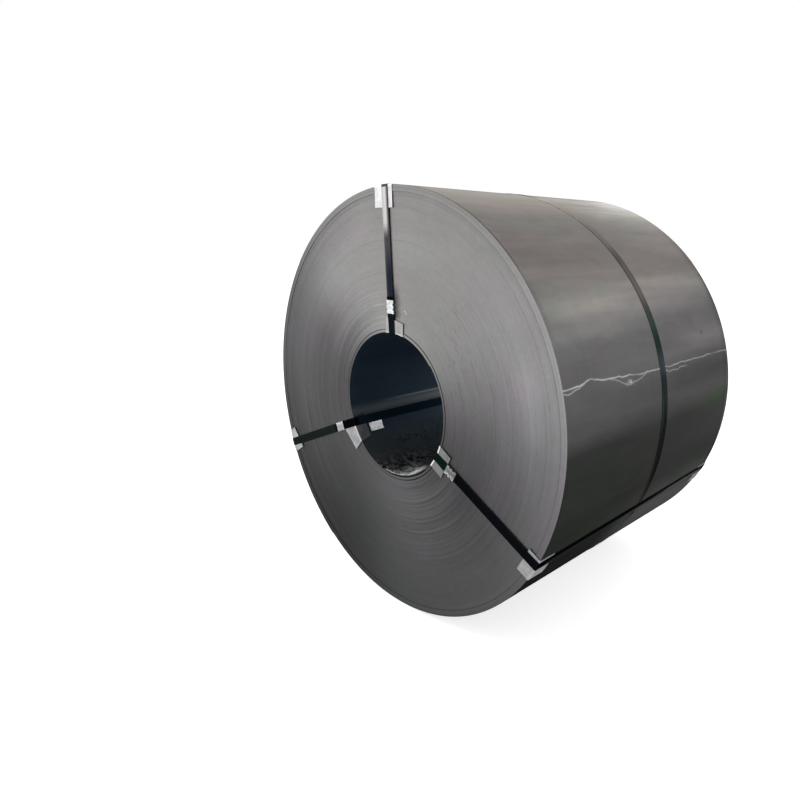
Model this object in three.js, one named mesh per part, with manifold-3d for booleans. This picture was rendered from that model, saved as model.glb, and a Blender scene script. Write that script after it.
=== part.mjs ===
// A coil of steel strip lying on its side, strapped for transport: one band round its belly and
// three bands through its bore, each drawn over edge protectors and closed with a crimped seal.
// Millimetres, +Z up. The coil's axis lies along Y and the near end faces -Y. The origin is on
// the floor, under the middle of the coil. Angles are degrees round the axis, from +X to +Z.
import * as THREE from 'three';
import { mergeVertices } from 'three/addons/utils/BufferGeometryUtils.js';
import Module from 'manifold-3d';

const wasm = await Module();
wasm.setup();

// The wound strip
const boreDiameter = 508;
const coilDiameter = 1480;
const stripWidth = 1050; // the coil's length along its axis
const stripThickness = 3;
const tailAngle = 236; // the strip's outer end
const headAngle = 40; // the strip's inner end
const facets = 90; // flats round the coil, one of them at the very bottom

// The turns as they show on the coil's ends
const turnGroups = 7; // groups of turns between the inner and the last wraps
const turnStray = 3; // how far a group stands back from the end at most
const strayPhase = 2.4; // radians of sway from one group to the next
const innerWraps = 12; // depth of the loose wraps at the bore
const lastWraps = 20; // depth of the last wraps at the outside
const wrapGap = 2; // opening between those wraps and the rest
const wrapGapDepth = 5;

// Strapping and seals
const strapWidth = 32;
const strapThickness = 0.9;
const sealLength = 45;
const sealSheet = 0.9;
const sealLip = 9; // how far the seal folds under the strap on each side
const notchLength = 7;
const notchDepth = 4; // how far a crimp bites into the strap
const notchPitch = 16;
const lapLength = 34; // how far each strap end runs past the middle of its seal
const lapRamp = 16; // where the upper strap end climbs over the lower one
const bellyShift = 16; // the belly band's place along Y, from the middle
const bellySealAngle = 150;
const bellyRamp = 34; // where the belly band comes down from its seal to the steel

// Edge protectors, bent from sheet blanks that aren't always bent at the same place
const protectorWidth = 90;
const protectorSheet = 1.5;
const rimBlank = 114; // length of the two flanges together, at the rim
const boreBlank = 109; // and at the bore
const pressSteps = 8; // flats across the width of a sheet that is pressed to the curve

// The label on the bore's wall
const labelLength = 58;
const labelWidth = 33;
const labelSheet = 0.5;
const labelDepth = 60; // from the near end to the label
const labelAngle = 212;

// Clearances
const seatGap = 0.3; // between touching pieces
const lapGap = 0.3; // between the two layers of a strap at its seal
const bendSteps = 3; // flats in a bend

const boreRadius = boreDiameter / 2;
const coilRadius = coilDiameter / 2;
const halfWidth = stripWidth / 2;
const facetAngle = 360 / facets;
const facetCosine = Math.cos(rad(facetAngle / 2));

// Bands through the bore. On the ends a band runs straight along the direction `heading`, passing
// the axis at the distance `offset`; `askew` is how far round it drifts from end to end.
// `sealGap` is from its bore protector's free edge to its seal. Of its protectors at the rim and
// at the bore, `flange` is the length on the coil's end, `skew` the slope of that flange's free
// edge, `lean` the slope at which the sheet's sides cross its bend, and `slip` how far the
// protector sits round from the band.
const boreBands = {
  top: {
    heading: 92.4,
    offset: 19.8,
    askew: 0,
    sealGap: 19.5,
    rim: { flange: 72, skew: -0.05, lean: 0, slip: 8 },
    bore: { flange: 46, skew: 0.15, lean: 0, slip: -11 },
  },
  left: {
    heading: 201.6,
    offset: -12.8,
    askew: 0,
    sealGap: 12.5,
    rim: { flange: 57, skew: 0.34, lean: -0.15, slip: -4 },
    bore: { flange: 60, skew: -0.25, lean: 0.26, slip: 33 },
  },
  right: {
    heading: -28.5,
    offset: 10.9,
    askew: 2.4,
    sealGap: 3.5,
    rim: { flange: 47, skew: 0, lean: 0, slip: -19 },
    bore: { flange: 56, skew: 0, lean: 0, slip: 0 },
  },
};

const finish = {
  strip: { color: 0x77736f, roughness: 0.45, metalness: 0.85 },
  strap: { color: 0x15171b, roughness: 0.4, metalness: 0.4 },
  zinc: { color: 0xb4b8ba, roughness: 0.45, metalness: 0.9 },
  label: { color: 0xd4d5d2, roughness: 0.7, metalness: 0 },
};

function rad(degrees) {
  return THREE.MathUtils.degToRad(degrees);
}

function deg(radians) {
  return THREE.MathUtils.radToDeg(radians);
}

// The part of a whole turn that an angle is, from 0 to 1.
function turnsOf(angle) {
  return THREE.MathUtils.euclideanModulo(angle, 360) / 360;
}

// Radius of the coil's outside: it grows by one strip thickness up to the tail, and drops there.
function outerRadius(angle) {
  return coilRadius - stripThickness * (1 - turnsOf(angle - tailAngle));
}

// Radius of the bore's wall: the head is a step inwards, and the wall falls back from it.
function innerRadius(angle) {
  return boreRadius + stripThickness * turnsOf(angle - headAngle);
}

// The nearest that the flats of the bore's wall come to the axis.
function innerSeat(angle) {
  return innerRadius(angle) * facetCosine - seatGap;
}

function outerSeat(angle) {
  return outerRadius(angle) + seatGap;
}

const strapLift = seatGap + protectorSheet + seatGap; // a bore band's height above the steel
const faceSeat = halfWidth + strapLift;
const bendRadius = protectorSheet + seatGap;
const bellyFoot = outerSeat(-90 + facetAngle / 2) + strapThickness;
const axisHeight = bellyFoot * facetCosine;

// ---- solids ----

// A closed solid from a geometry, by its shared vertices alone.
function toSolid(geometry) {
  const bare = new THREE.BufferGeometry();
  bare.setAttribute('position', geometry.getAttribute('position'));
  bare.setIndex(geometry.getIndex());
  const merged = mergeVertices(bare, 1e-4);
  const corners = merged.getIndex().array;
  const kept = [];
  for (let i = 0; i < corners.length; i += 3) {
    const [a, b, c] = corners.slice(i, i + 3);
    if (a !== b && b !== c && c !== a) kept.push(a, b, c);
  }
  const vertProperties = new Float32Array(merged.getAttribute('position').array);
  const triVerts = new Uint32Array(kept);
  return new wasm.Manifold(new wasm.Mesh({ numProp: 3, vertProperties, triVerts }));
}

function toGeometry(solid) {
  const { vertProperties, triVerts } = solid.getMesh();
  const geometry = new THREE.BufferGeometry();
  geometry.setAttribute('position', new THREE.BufferAttribute(vertProperties, 3));
  geometry.setIndex(new THREE.BufferAttribute(triVerts, 1));
  return geometry;
}

function cut(geometry, cutters) {
  let solid = toSolid(geometry);
  for (const cutter of cutters) solid = solid.subtract(toSolid(cutter));
  return toGeometry(solid);
}

// Moves each vertex of a geometry to where `place` puts it.
function reshape(geometry, place) {
  const position = geometry.getAttribute('position');
  const point = new THREE.Vector3();
  for (let i = 0; i < position.count; i++) {
    place(point.fromBufferAttribute(position, i));
    position.setXYZ(i, point.x, point.y, point.z);
  }
  return geometry;
}

function extrude(points, depth, steps = 1) {
  const settings = { depth, steps, bevelEnabled: false };
  return new THREE.ExtrudeGeometry(new THREE.Shape(points), settings).translate(0, 0, -depth / 2);
}

function named(name, geometry, look) {
  const bare = toGeometry(toSolid(geometry));
  const flat = bare.toNonIndexed();
  flat.computeVertexNormals();
  const mesh = new THREE.Mesh(flat, new THREE.MeshStandardMaterial({ ...look, flatShading: true }));
  mesh.name = name;
  return mesh;
}

// ---- the wound coil ----

// One end of the coil from the bore outwards: loose inner wraps, groups of turns that stray from
// the end by different amounts, and the last wraps. `end` is -1 for the near end, 1 for the far.
function endProfile(end) {
  const from = boreRadius + innerWraps + wrapGap;
  const to = coilRadius - lastWraps - wrapGap;
  const rings = [[boreRadius, boreRadius + innerWraps, 0]];
  rings.push([boreRadius + innerWraps, from, wrapGapDepth]);
  for (let i = 0; i < turnGroups; i++) {
    const stray = (turnStray * (1 + Math.sin(strayPhase * i + end))) / 2;
    const edges = [i, i + 1].map((k) => from + ((to - from) * k) / turnGroups);
    rings.push([...edges, stray]);
  }
  rings.push([to, coilRadius - lastWraps, wrapGapDepth]);
  rings.push([coilRadius - lastWraps, coilRadius, 0]);
  return rings.flatMap(([inner, outer, back]) =>
    [inner, outer].map((radius) => new THREE.Vector2(radius, end * (halfWidth - back))),
  );
}

// Angles of the coil's columns, from one side of the bottom flat once round to it again. Where
// the strip ends there are two columns a hair apart, before and after its step.
function columnAngles(stepAngles) {
  const hair = 1e-6;
  const first = -90 + facetAngle / 2;
  const even = Array.from({ length: facets }, (_, i) => first + facetAngle * i);
  const steps = stepAngles.flatMap((angle) => [angle - hair, angle]);
  const round = [...even, ...steps].map((angle) => first + 360 * turnsOf(angle - first));
  return [...round, first + 360].sort((a, b) => a - b);
}

// The coil: a turned body whose outside and bore are then wound to the strip's spiral.
function coilBody() {
  const profile = [...endProfile(1), ...endProfile(-1).reverse()];
  profile.push(profile[0].clone());
  const angles = columnAngles([tailAngle, headAngle]);
  const geometry = new THREE.LatheGeometry(profile, angles.length - 1);
  const position = geometry.getAttribute('position');
  angles.forEach((angle, column) => {
    const turn = rad(angle);
    profile.forEach((point, row) => {
      let radius = point.x;
      if (radius === coilRadius) radius = outerRadius(angle);
      if (radius === boreRadius) radius = innerRadius(angle);
      const index = column * profile.length + row;
      position.setXYZ(index, radius * Math.cos(turn), point.y, radius * Math.sin(turn));
    });
  });
  return geometry.translate(0, 0, axisHeight);
}

// ---- straps ----

// Outline of a strap seen on its edge. Its underside runs along the stations: each has a point,
// the direction away from the steel, and how far the strap is lifted there.
function strapOutline(stations) {
  const side = (extra) =>
    stations.map(({ point, away, lift }) => point.clone().addScaledVector(away, lift + extra));
  return [...side(0), ...side(strapThickness).reverse()];
}

function direction(angle) {
  return new THREE.Vector2(Math.cos(rad(angle)), Math.sin(rad(angle)));
}

const lapLift = strapThickness + lapGap; // the upper strap end above the lower one

// Angle round the axis of a bore band where it is at a radius and a place along the coil.
function bandAngle(band, radius, y) {
  const along = (y + halfWidth) / stripWidth;
  return band.heading + band.askew * along - deg(Math.asin(band.offset / radius));
}

// How far from the axis the middle of a bore band's seal is.
function sealRadius(band) {
  return boreRadius + band.bore.flange + band.sealGap + sealLength / 2;
}

// Where a bore band's underside lies outside the coil and in its bore. In the bore the strap's
// two edges come nearest to the protector.
function bandSeats(band) {
  const outer = outerSeat(bandAngle(band, coilRadius, 0)) + protectorSheet + seatGap;
  const wall = innerSeat(bandAngle(band, boreRadius, 0)) - protectorSheet - seatGap;
  const inner = Math.sqrt(wall ** 2 - (strapWidth / 2) ** 2);
  return { inner, outer };
}

// Stations round a bend in the strap, a quarter turn from one direction on.
function bendStations(x, y, from) {
  return Array.from({ length: bendSteps + 1 }, (_, i) => {
    const away = direction(from + (90 * i) / bendSteps);
    const point = new THREE.Vector2(x, y).addScaledVector(away, bendRadius);
    return { point, away, lift: 0 };
  });
}

// A band through the bore: from its lower end under the seal out over the rim, along the
// outside, back through the bore, and over its own start to the upper end.
function boreBandStations(band) {
  const { inner, outer } = bandSeats(band);
  const onFace = (radius, lift) => ({
    point: new THREE.Vector2(radius, -faceSeat),
    away: new THREE.Vector2(0, -1),
    lift,
  });
  const start = sealRadius(band) - lapLength;
  const reach = faceSeat - bendRadius;
  return [
    onFace(start, 0),
    ...bendStations(outer - bendRadius, -reach, -90),
    ...bendStations(outer - bendRadius, reach, 0),
    ...bendStations(inner + bendRadius, reach, 90),
    ...bendStations(inner + bendRadius, -reach, 180),
    onFace(start - lapRamp, 0),
    onFace(start - lapGap, lapLift),
    onFace(sealRadius(band) + lapLength, lapLift),
  ];
}

// Distance of the belly band's underside from the axis where it is straight in its seal.
const bellySealSeat = outerSeat(bellySealAngle) + sealSheet + seatGap;

// The belly band: from its lower end under the seal once round the coil, and over its own start
// to the upper end. It bridges the step at the strip's tail, and is straight through its seal.
function bellyBandStations() {
  const lap = deg(lapLength / coilRadius);
  const ramp = deg(bellyRamp / coilRadius);
  const bridge = deg(Math.acos(1 - stripThickness / coilRadius));
  const first = bellySealAngle + lap + ramp;
  const last = bellySealAngle + 360 - lap - ramp;
  const onSteel = (angle) => ({
    point: direction(angle).multiplyScalar(outerSeat(angle)),
    away: direction(angle),
    lift: 0,
  });
  const inSeal = (aside, lift) => ({
    point: direction(bellySealAngle + aside).multiplyScalar(bellySealSeat / Math.cos(rad(aside))),
    away: direction(bellySealAngle),
    lift,
  });
  const between = columnAngles([tailAngle])
    .filter((angle) => 360 * turnsOf(angle - tailAngle) > bridge)
    .concat(tailAngle + bridge)
    .map((angle) => first + 360 * turnsOf(angle - first))
    .filter((angle) => angle > first && angle < last)
    .sort((a, b) => a - b);
  const angles = [first, ...new Set(between), last];
  return [
    inSeal(-lap, 0),
    inSeal(lap, 0),
    ...angles.map(onSteel),
    inSeal(-lap, lapLift),
    inSeal(lap, lapLift),
  ];
}

// ---- seals, in a layout of their own: X across the strap, Y away from the steel, from the
// strap's underside, and Z along the strap ----

// Sheet folded round both layers of strap, its lips turned in underneath.
function sealBlank() {
  const inside = strapWidth / 2 + seatGap;
  const low = -seatGap;
  const high = strapThickness + lapLift + seatGap;
  const outside = inside + sealSheet;
  const bevel = sealSheet / 2;
  const half = [
    [outside - sealLip, low],
    [inside, low],
    [inside, high],
  ];
  const back = [
    [outside - bevel, high + sealSheet],
    [outside, high + sealSheet - bevel],
    [outside, low - sealSheet + bevel],
    [outside - bevel, low - sealSheet],
    [outside - sealLip, low - sealSheet],
  ];
  const mirrored = (points) => points.map(([x, y]) => [-x, y]).reverse();
  const outline = [...half, ...mirrored(half), ...mirrored(back), ...back];
  return extrude(outline.map(([x, y]) => new THREE.Vector2(x, y)), sealLength);
}

// What the crimping tool bites out: two notches on each side, through seal and strap.
function notches() {
  const edge = strapWidth / 2;
  const clear = edge + 2 * (seatGap + sealSheet);
  const outline = [
    [-notchLength / 2, clear],
    [-notchLength / 2, edge],
    [-notchLength / 4, edge - notchDepth],
    [notchLength / 4, edge - notchDepth],
    [notchLength / 2, edge],
    [notchLength / 2, clear],
  ].map(([along, across]) => new THREE.Vector2(along, across));
  const height = 4 * (sealSheet + lapLift); // well past both layers of strap and the seal
  const upright = new THREE.Matrix4().makeBasis(
    new THREE.Vector3(0, 0, 1),
    new THREE.Vector3(1, 0, 0),
    new THREE.Vector3(0, 1, 0),
  );
  return [-0.5, 0.5].flatMap((place) =>
    [0, Math.PI].map((turn) =>
      extrude(outline, height)
        .translate(place * notchPitch, 0, 0)
        .applyMatrix4(upright)
        .rotateY(turn),
    ),
  );
}

// ---- edge protectors ----

// Outline of a bent sheet on the near end's edge, in the flat layout: a flange on the coil's end
// and a flange along its side. `side` is 1 on the outside of the coil and -1 in the bore.
function protectorOutline(seat, side, faceFlange, sideFlange) {
  const face = -(halfWidth + seatGap);
  const corner = new THREE.Vector2(seat, face);
  const bend = Array.from({ length: bendSteps + 1 }, (_, i) => {
    const turn = rad((-90 * i) / bendSteps);
    const out = new THREE.Vector2(side * Math.cos(turn), Math.sin(turn));
    return corner.clone().addScaledVector(out, protectorSheet);
  });
  return [
    new THREE.Vector2(seat - side * faceFlange, face),
    corner,
    new THREE.Vector2(seat, face + sideFlange),
    new THREE.Vector2(seat + side * protectorSheet, face + sideFlange),
    ...bend,
    new THREE.Vector2(seat - side * faceFlange, face - protectorSheet),
  ];
}

// Presses a sheet that lies flat across its width to the round of its seat. Its sides cross the
// bend on a slope of `lean`. A flange on the coil's end keeps its free edge straight, though on a
// slope of `skew`.
function press(geometry, seat, side, faceFlange, skew = 0, lean = 0) {
  return reshape(geometry, (point) => {
    const fromBend = side * (seat - point.x) - Math.max(0, point.y + halfWidth + seatGap);
    point.z += lean * fromBend;
    const drop = seat - Math.sqrt(seat ** 2 - point.z ** 2);
    const share = THREE.MathUtils.clamp((side * (seat - point.x)) / faceFlange, 0, 1);
    point.x -= drop * (1 - share) + side * skew * point.z * share;
  });
}

function protector(seat, side, { flange, skew, lean }, blank) {
  const outline = protectorOutline(seat, side, flange, blank - flange);
  return press(extrude(outline, protectorWidth, pressSteps), seat, side, flange, skew, lean);
}

// ---- assembly ----

// Takes a piece from the flat layout, with X its radius, Y its place along the coil and Z across
// it, to its place round the axis.
function layRound(geometry, angleAt) {
  return reshape(geometry, (point) => {
    const turn = rad(angleAt(point.x, point.y));
    const { x, z } = point;
    point.x = x * Math.cos(turn) - z * Math.sin(turn);
    point.z = x * Math.sin(turn) + z * Math.cos(turn) + axisHeight;
  });
}

function boreBand(name, band) {
  const sealPlace = new THREE.Matrix4()
    .makeBasis(
      new THREE.Vector3(0, 0, 1),
      new THREE.Vector3(0, -1, 0),
      new THREE.Vector3(1, 0, 0),
    )
    .setPosition(sealRadius(band), -faceSeat, 0);
  const bites = notches().map((bite) => bite.applyMatrix4(sealPlace));
  const strap = cut(extrude(strapOutline(boreBandStations(band)), strapWidth), bites);
  const seal = cut(sealBlank().applyMatrix4(sealPlace), bites);
  const round = (radius, y) => bandAngle(band, radius, y);
  return [
    named(`bore_band_${name}`, layRound(strap, round), finish.strap),
    named(`bore_band_${name}_seal`, layRound(seal, round), finish.zinc),
  ];
}

function bellyBand() {
  const away = direction(bellySealAngle);
  const sealPlace = new THREE.Matrix4()
    .makeBasis(
      new THREE.Vector3(0, 1, 0),
      new THREE.Vector3(away.x, 0, away.y),
      new THREE.Vector3(away.y, 0, -away.x),
    )
    .setPosition(
      away.x * bellySealSeat,
      bellyShift,
      away.y * bellySealSeat + axisHeight,
    );
  const bites = notches().map((bite) => bite.applyMatrix4(sealPlace));
  const strap = extrude(strapOutline(bellyBandStations()), strapWidth)
    .rotateX(Math.PI / 2)
    .translate(0, bellyShift, axisHeight);
  const seal = sealBlank().applyMatrix4(sealPlace);
  return [
    named('belly_band', cut(strap, bites), finish.strap),
    named('belly_band_seal', cut(seal, bites), finish.zinc),
  ];
}

// The four protectors under a bore band: at the rim and at the bore, on the near and far ends.
function bandProtectors(name, band) {
  const ends = [['near', -1], ['far', 1]];
  return ends.flatMap(([endName, end]) => {
    const y = end * halfWidth;
    const turn = end === 1 ? Math.PI : 0;
    const rimAngle = bandAngle(band, coilRadius, y) + deg(band.rim.slip / coilRadius);
    const boreAngle = bandAngle(band, boreRadius, y) + deg(band.bore.slip / boreRadius);
    const rim = protector(outerSeat(rimAngle), 1, band.rim, rimBlank).rotateX(turn);
    const bore = protector(innerSeat(boreAngle), -1, band.bore, boreBlank).rotateX(turn);
    return [
      named(`rim_protector_${name}_${endName}`, layRound(rim, () => rimAngle), finish.zinc),
      named(`bore_protector_${name}_${endName}`, layRound(bore, () => boreAngle), finish.zinc),
    ];
  });
}

function boreLabel() {
  const seat = innerSeat(labelAngle);
  const near = labelDepth - halfWidth;
  const outline = [
    new THREE.Vector2(seat - labelSheet, near),
    new THREE.Vector2(seat, near),
    new THREE.Vector2(seat, near + labelLength),
    new THREE.Vector2(seat - labelSheet, near + labelLength),
  ];
  const sheet = press(extrude(outline, labelWidth, pressSteps), seat, 1, Infinity);
  return named('bore_label', layRound(sheet, () => labelAngle), finish.label);
}

const group = new THREE.Group();
group.add(named('coil_body', coilBody(), finish.strip), ...bellyBand());
for (const [name, band] of Object.entries(boreBands)) {
  group.add(...boreBand(name, band), ...bandProtectors(name, band));
}
group.add(boreLabel());

export default group;
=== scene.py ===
"""Looks of a strapped coil of steel strip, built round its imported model.

The coil lies on its side with its axis level along Y, and the end with the seals faces -Y.
Angles are degrees round the axis, from +X to +Z. Lengths are in metres.
"""
import math

import bpy
import numpy as np
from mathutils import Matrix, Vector


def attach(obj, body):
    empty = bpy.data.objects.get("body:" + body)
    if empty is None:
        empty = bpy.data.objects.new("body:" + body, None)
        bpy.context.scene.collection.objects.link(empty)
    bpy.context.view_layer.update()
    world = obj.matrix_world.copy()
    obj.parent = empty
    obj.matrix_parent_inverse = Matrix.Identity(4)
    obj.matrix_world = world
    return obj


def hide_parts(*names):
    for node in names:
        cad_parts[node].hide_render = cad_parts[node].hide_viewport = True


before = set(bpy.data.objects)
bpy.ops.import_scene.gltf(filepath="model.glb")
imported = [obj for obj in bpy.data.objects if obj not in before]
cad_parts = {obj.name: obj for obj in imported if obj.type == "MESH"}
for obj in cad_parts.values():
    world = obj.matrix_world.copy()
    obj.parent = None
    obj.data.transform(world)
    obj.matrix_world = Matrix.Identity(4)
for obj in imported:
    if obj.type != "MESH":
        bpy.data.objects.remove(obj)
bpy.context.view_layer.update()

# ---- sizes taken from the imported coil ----

# Points within this distance of an end count as lying on it. The rest are its set back turns.
ON_END = 0.0005

coil_points = np.array([v.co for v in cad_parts["coil_body"].data.vertices])
HALF_WIDTH = float(coil_points[:, 1].max())
set_back = coil_points[np.abs(coil_points[:, 1]) < HALF_WIDTH - ON_END]
AXIS_HEIGHT = float(set_back[:, 2].min() + set_back[:, 2].max()) / 2
radii = np.hypot(coil_points[:, 0], coil_points[:, 2] - AXIS_HEIGHT)
COIL_RADIUS = float(radii.max())
BORE_RADIUS = float(radii.min())

# ---- sizes of the strip, the strapping and the protectors, as in the part ----

STRIP_THICKNESS = 0.003
TAIL_ANGLE = 236
HEAD_ANGLE = 40
FACETS = 90
STRAP_WIDTH = 0.032
STRAP_THICKNESS = 0.0009
SEAL_LENGTH = 0.045
SEAL_SHEET = 0.0009
SEAL_LIP = 0.009
NOTCH_PITCH = 0.016
NOTCH_LENGTH = 0.007
NOTCH_DEPTH = 0.004
LAP_LENGTH = 0.034
LAP_RAMP = 0.016
BELLY_SHIFT = 0.016
BELLY_SEAL_ANGLE = 150
BELLY_RAMP = 0.034
PROTECTOR_WIDTH = 0.090
PROTECTOR_SHEET = 0.0015
RIM_BLANK = 0.114
BORE_BLANK = 0.109
SEAT_GAP = 0.0003

# Height of a strap over the steel on a protector, and over itself where it laps. Then its
# underside's distance from the coil's middle on an end, and its underside's radius at a bend.
STRAP_LIFT = SEAT_GAP + PROTECTOR_SHEET + SEAT_GAP
LAP_LIFT = STRAP_THICKNESS + SEAT_GAP
FACE_SEAT = HALF_WIDTH + STRAP_LIFT
BEND_RADIUS = PROTECTOR_SHEET + SEAT_GAP

# The bands through the bore: heading and drift along the coil in degrees, offset from the axis,
# gap between the bore protector and the seal, and the seal's lightness and painted glints. Then the
# protectors at the rim and at the bore: lightness, painted highlight on the bend, painted shade on
# the outside flange, length of the flange on the coil's end, slopes of its free edge and sides, and
# shift round. Seals and protectors are one sheet; their lightness by place is painted light and shade.
BANDS = {
    "top": dict(heading=92.4, offset=0.0198, askew=0.0, seal_gap=0.0195, seal_level=0.56,
                seal_glint=0.3,
                rim=dict(level=0.46, bend_highlight=0.3, flange_shade=0.85, flange=0.072, skew=-0.05, lean=0.0,
                         slip=0.008),
                bore=dict(level=0.30, bend_highlight=0.5, flange=0.046, skew=0.15, lean=0.0, slip=-0.011)),
    "left": dict(heading=201.6, offset=-0.0128, askew=0.0, seal_gap=0.0125, seal_level=0.33,
                 seal_glint=1.2,
                 rim=dict(level=0.30, bend_highlight=0.3, flange_shade=0.5, flange=0.057, skew=0.34, lean=-0.15,
                          slip=-0.004),
                 bore=dict(level=0.26, bend_highlight=0.8, flange=0.060, skew=-0.25, lean=0.26, slip=0.033)),
    "right": dict(heading=-28.5, offset=0.0109, askew=2.4, seal_gap=0.0035, seal_level=0.17,
                  seal_glint=3.2,
                  rim=dict(level=0.27, bend_highlight=0.3, flange_shade=0.35, flange=0.047, skew=0.0, lean=0.0,
                           slip=-0.019),
                  bore=dict(level=0.14, bend_highlight=4.0, flange=0.056, skew=0.0, lean=0.0, slip=0.0)),
}


def turns_of(angle):
    """The part of a whole turn that an angle in degrees is, from 0 to 1."""
    return np.mod(angle, 360) / 360


def outer_radius(angle):
    """Outside of the coil: it grows by one strip thickness up to the tail, and drops there."""
    return COIL_RADIUS - STRIP_THICKNESS * (1 - turns_of(angle - TAIL_ANGLE))


def inner_radius(angle):
    """Wall of the bore: the head is a step inwards, and the wall falls back from it."""
    return BORE_RADIUS + STRIP_THICKNESS * turns_of(angle - HEAD_ANGLE)


def height_of(angle):
    """How high an angle in degrees lies on the coil: -90 at its bottom, 0 level with its axis on
    both sides, and 90 at its top."""
    return np.degrees(np.arcsin(np.sin(np.radians(angle))))


def smooth_step(value, low, high):
    """0 at low, 1 at high, and an S curve of third degree between; high may be the lower one."""
    t = np.clip((value - low) / (high - low), 0, 1)
    return t * t * (3 - 2 * t)


def stretch(value, start, whole, fading, gone):
    """1 over a stretch of the value, with a smooth step up at its start and down at its end."""
    return smooth_step(value, start, whole) * smooth_step(value, gone, fading)


# ---- meshes from grids ----

# Faces that meet at more than this many degrees share a sharp edge.
SHARP_ANGLE = 35


def grid_faces(rows, columns, close_rows):
    """Quads of a grid of rows x columns points, numbered row by row. Its last column is joined
    to its first, and where the rows close, its last row too."""
    r = np.arange(rows if close_rows else rows - 1)[:, None]
    c = np.arange(columns)[None, :]
    r_next, c_next = (r + 1) % rows, (c + 1) % columns
    corners = [r * columns + c, r * columns + c_next, r_next * columns + c_next, r_next * columns + c]
    return np.stack(corners, -1).reshape(-1, 4)


def signed_volume(points, faces):
    """Sum over the quads of the volume between each and the origin, positive if they face out."""
    a, b, c, d = (points[faces[:, k]] for k in range(4))
    halves = np.einsum("ij,ij->i", a, np.cross(b, c)) + np.einsum("ij,ij->i", a, np.cross(c, d))
    return halves.sum() / 6


def mesh_piece(name, grid, close_rows, materials, facts, part_of_face=None):
    """A piece from a grid of points, rows x columns x 3, closed across its columns. Where its
    rows don't close, its two end rows are capped. Facts become attributes: one value or vector
    for each point."""
    rows, columns = grid.shape[:2]
    points = grid.reshape(-1, 3)
    quads = grid_faces(rows, columns, close_rows)
    inside_out = signed_volume(points - points.mean(0), quads) < 0
    if inside_out:
        quads = quads[:, ::-1]
    faces = quads.tolist()
    if not close_rows:
        first, last = list(range(columns)), list(range(len(points) - columns, len(points)))
        faces += [first, last[::-1]] if inside_out else [first[::-1], last]
    mesh = bpy.data.meshes.new(name)
    mesh.from_pydata(points.tolist(), [], faces)
    for key, values in facts.items():
        values = np.asarray(values, np.float32)
        of_vectors = values.ndim == 3
        layer = mesh.attributes.new(key, "FLOAT_VECTOR" if of_vectors else "FLOAT", "POINT")
        layer.data.foreach_set("vector" if of_vectors else "value", values.ravel())
    for material in materials:
        mesh.materials.append(material)
    if part_of_face is not None:
        mesh.polygons.foreach_set("material_index", part_of_face.astype(np.int32))
    mesh.polygons.foreach_set("use_smooth", np.ones(len(faces), bool))
    mesh.set_sharp_from_angle(angle=math.radians(SHARP_ANGLE))
    mesh.update()
    piece = bpy.data.objects.new(name, mesh)
    bpy.context.scene.collection.objects.link(piece)
    return piece


def stand_for(piece, node):
    """The piece rides on the coil's body, in the place of a CAD node."""
    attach(piece, "root")
    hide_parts(node)


# ---- the wound coil ----

# Columns of the grid: how many, and in degrees where the first lies and how far its two columns
# lie beside a step in the spiral.
COLUMNS = 300
FIRST_COLUMN = 0.3
BESIDE_STEP = 0.0005
# Rows of the outside and of the bore, and the gap between the rows of two groups of turns.
BELLY_ROWS = 44
BORE_ROWS = 8
HAIR = 0.0002
# Groups of turns on an end: how many, how wide the wraps parted from them inside and outside
# are, the gaps that part them, the furthest that a group stands back, and the width of the line
# at its border.
END_GROUPS = 30
INNER_WRAPS = 0.0095
LAST_WRAPS = 0.0225
WRAP_GAP = 0.002
WRAP_GAP_DEPTH = 0.005
TURN_STRAY = 0.0022
SLACK_LINE = 0.0022
# How much the rim's corners are broken, and the greatest depth of the waves in the sheet.
STRIP_CORNER = 0.0006
SHEET_WAVE = 0.0005
# Seeds of the groups on the two ends, and the coil's parts in the order of their materials.
NEAR_SEED = 11
FAR_SEED = 23
END, OUTSIDE, BORE = range(3)


def column_angles():
    """Even angles round the coil, and two columns close together at the strip's tail and head."""
    even = np.arange(COLUMNS) * 360 / COLUMNS + FIRST_COLUMN
    steps = [angle + side for angle in (TAIL_ANGLE, HEAD_ANGLE) for side in (-BESIDE_STEP, BESIDE_STEP)]
    return np.sort(np.concatenate([even, steps]))


def end_rings(seed):
    """Inner and outer radius of each group of turns on one end: the loose inner wraps, a gap,
    groups of random width that fill the wall, a gap, and the last wraps."""
    rng = np.random.default_rng(seed)
    first = BORE_RADIUS + INNER_WRAPS + WRAP_GAP
    last = COIL_RADIUS - LAST_WRAPS - WRAP_GAP
    widths = rng.uniform(0.7, 1.3, END_GROUPS)
    edges = first + (last - first) * np.concatenate([[0], np.cumsum(widths) / widths.sum()])
    inner = [BORE_RADIUS, first - WRAP_GAP, *edges[:-1], last, last + WRAP_GAP]
    outer = [first - WRAP_GAP, first, *edges[1:], last + WRAP_GAP, COIL_RADIUS]
    return np.array(inner), np.array(outer)


def lobe(angles, centre, width):
    """1 at an angle and falling off to both sides, as a Gauss curve round the axis."""
    off = (np.asarray(angles) - centre + 180) % 360 - 180
    return np.exp(-(off / width) ** 2)


def ring_show(radius, angles):
    """How plainly the groups of turns show, 0 to 1: most near the bore low down and at its upper
    left, a little on both sides, and beside the rim low down and at the upper left."""
    from_bore, from_rim = radius - BORE_RADIUS, COIL_RADIUS - radius
    low = lobe(angles, 300, 28) * np.exp(-(from_bore / 0.30) ** 4)
    left = lobe(angles, 136, 34) * np.exp(-(from_bore / 0.13) ** 2)
    side = 0.22 * lobe(angles, 0, 45) + 0.17 * lobe(angles, 178, 30)
    rim = np.exp(-(from_rim / 0.05) ** 2) * (0.5 * lobe(angles, 305, 28) + 0.3 * lobe(angles, 150, 45))
    return np.clip(0.03 + low + 0.9 * left + side + rim, 0, 1)


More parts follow.
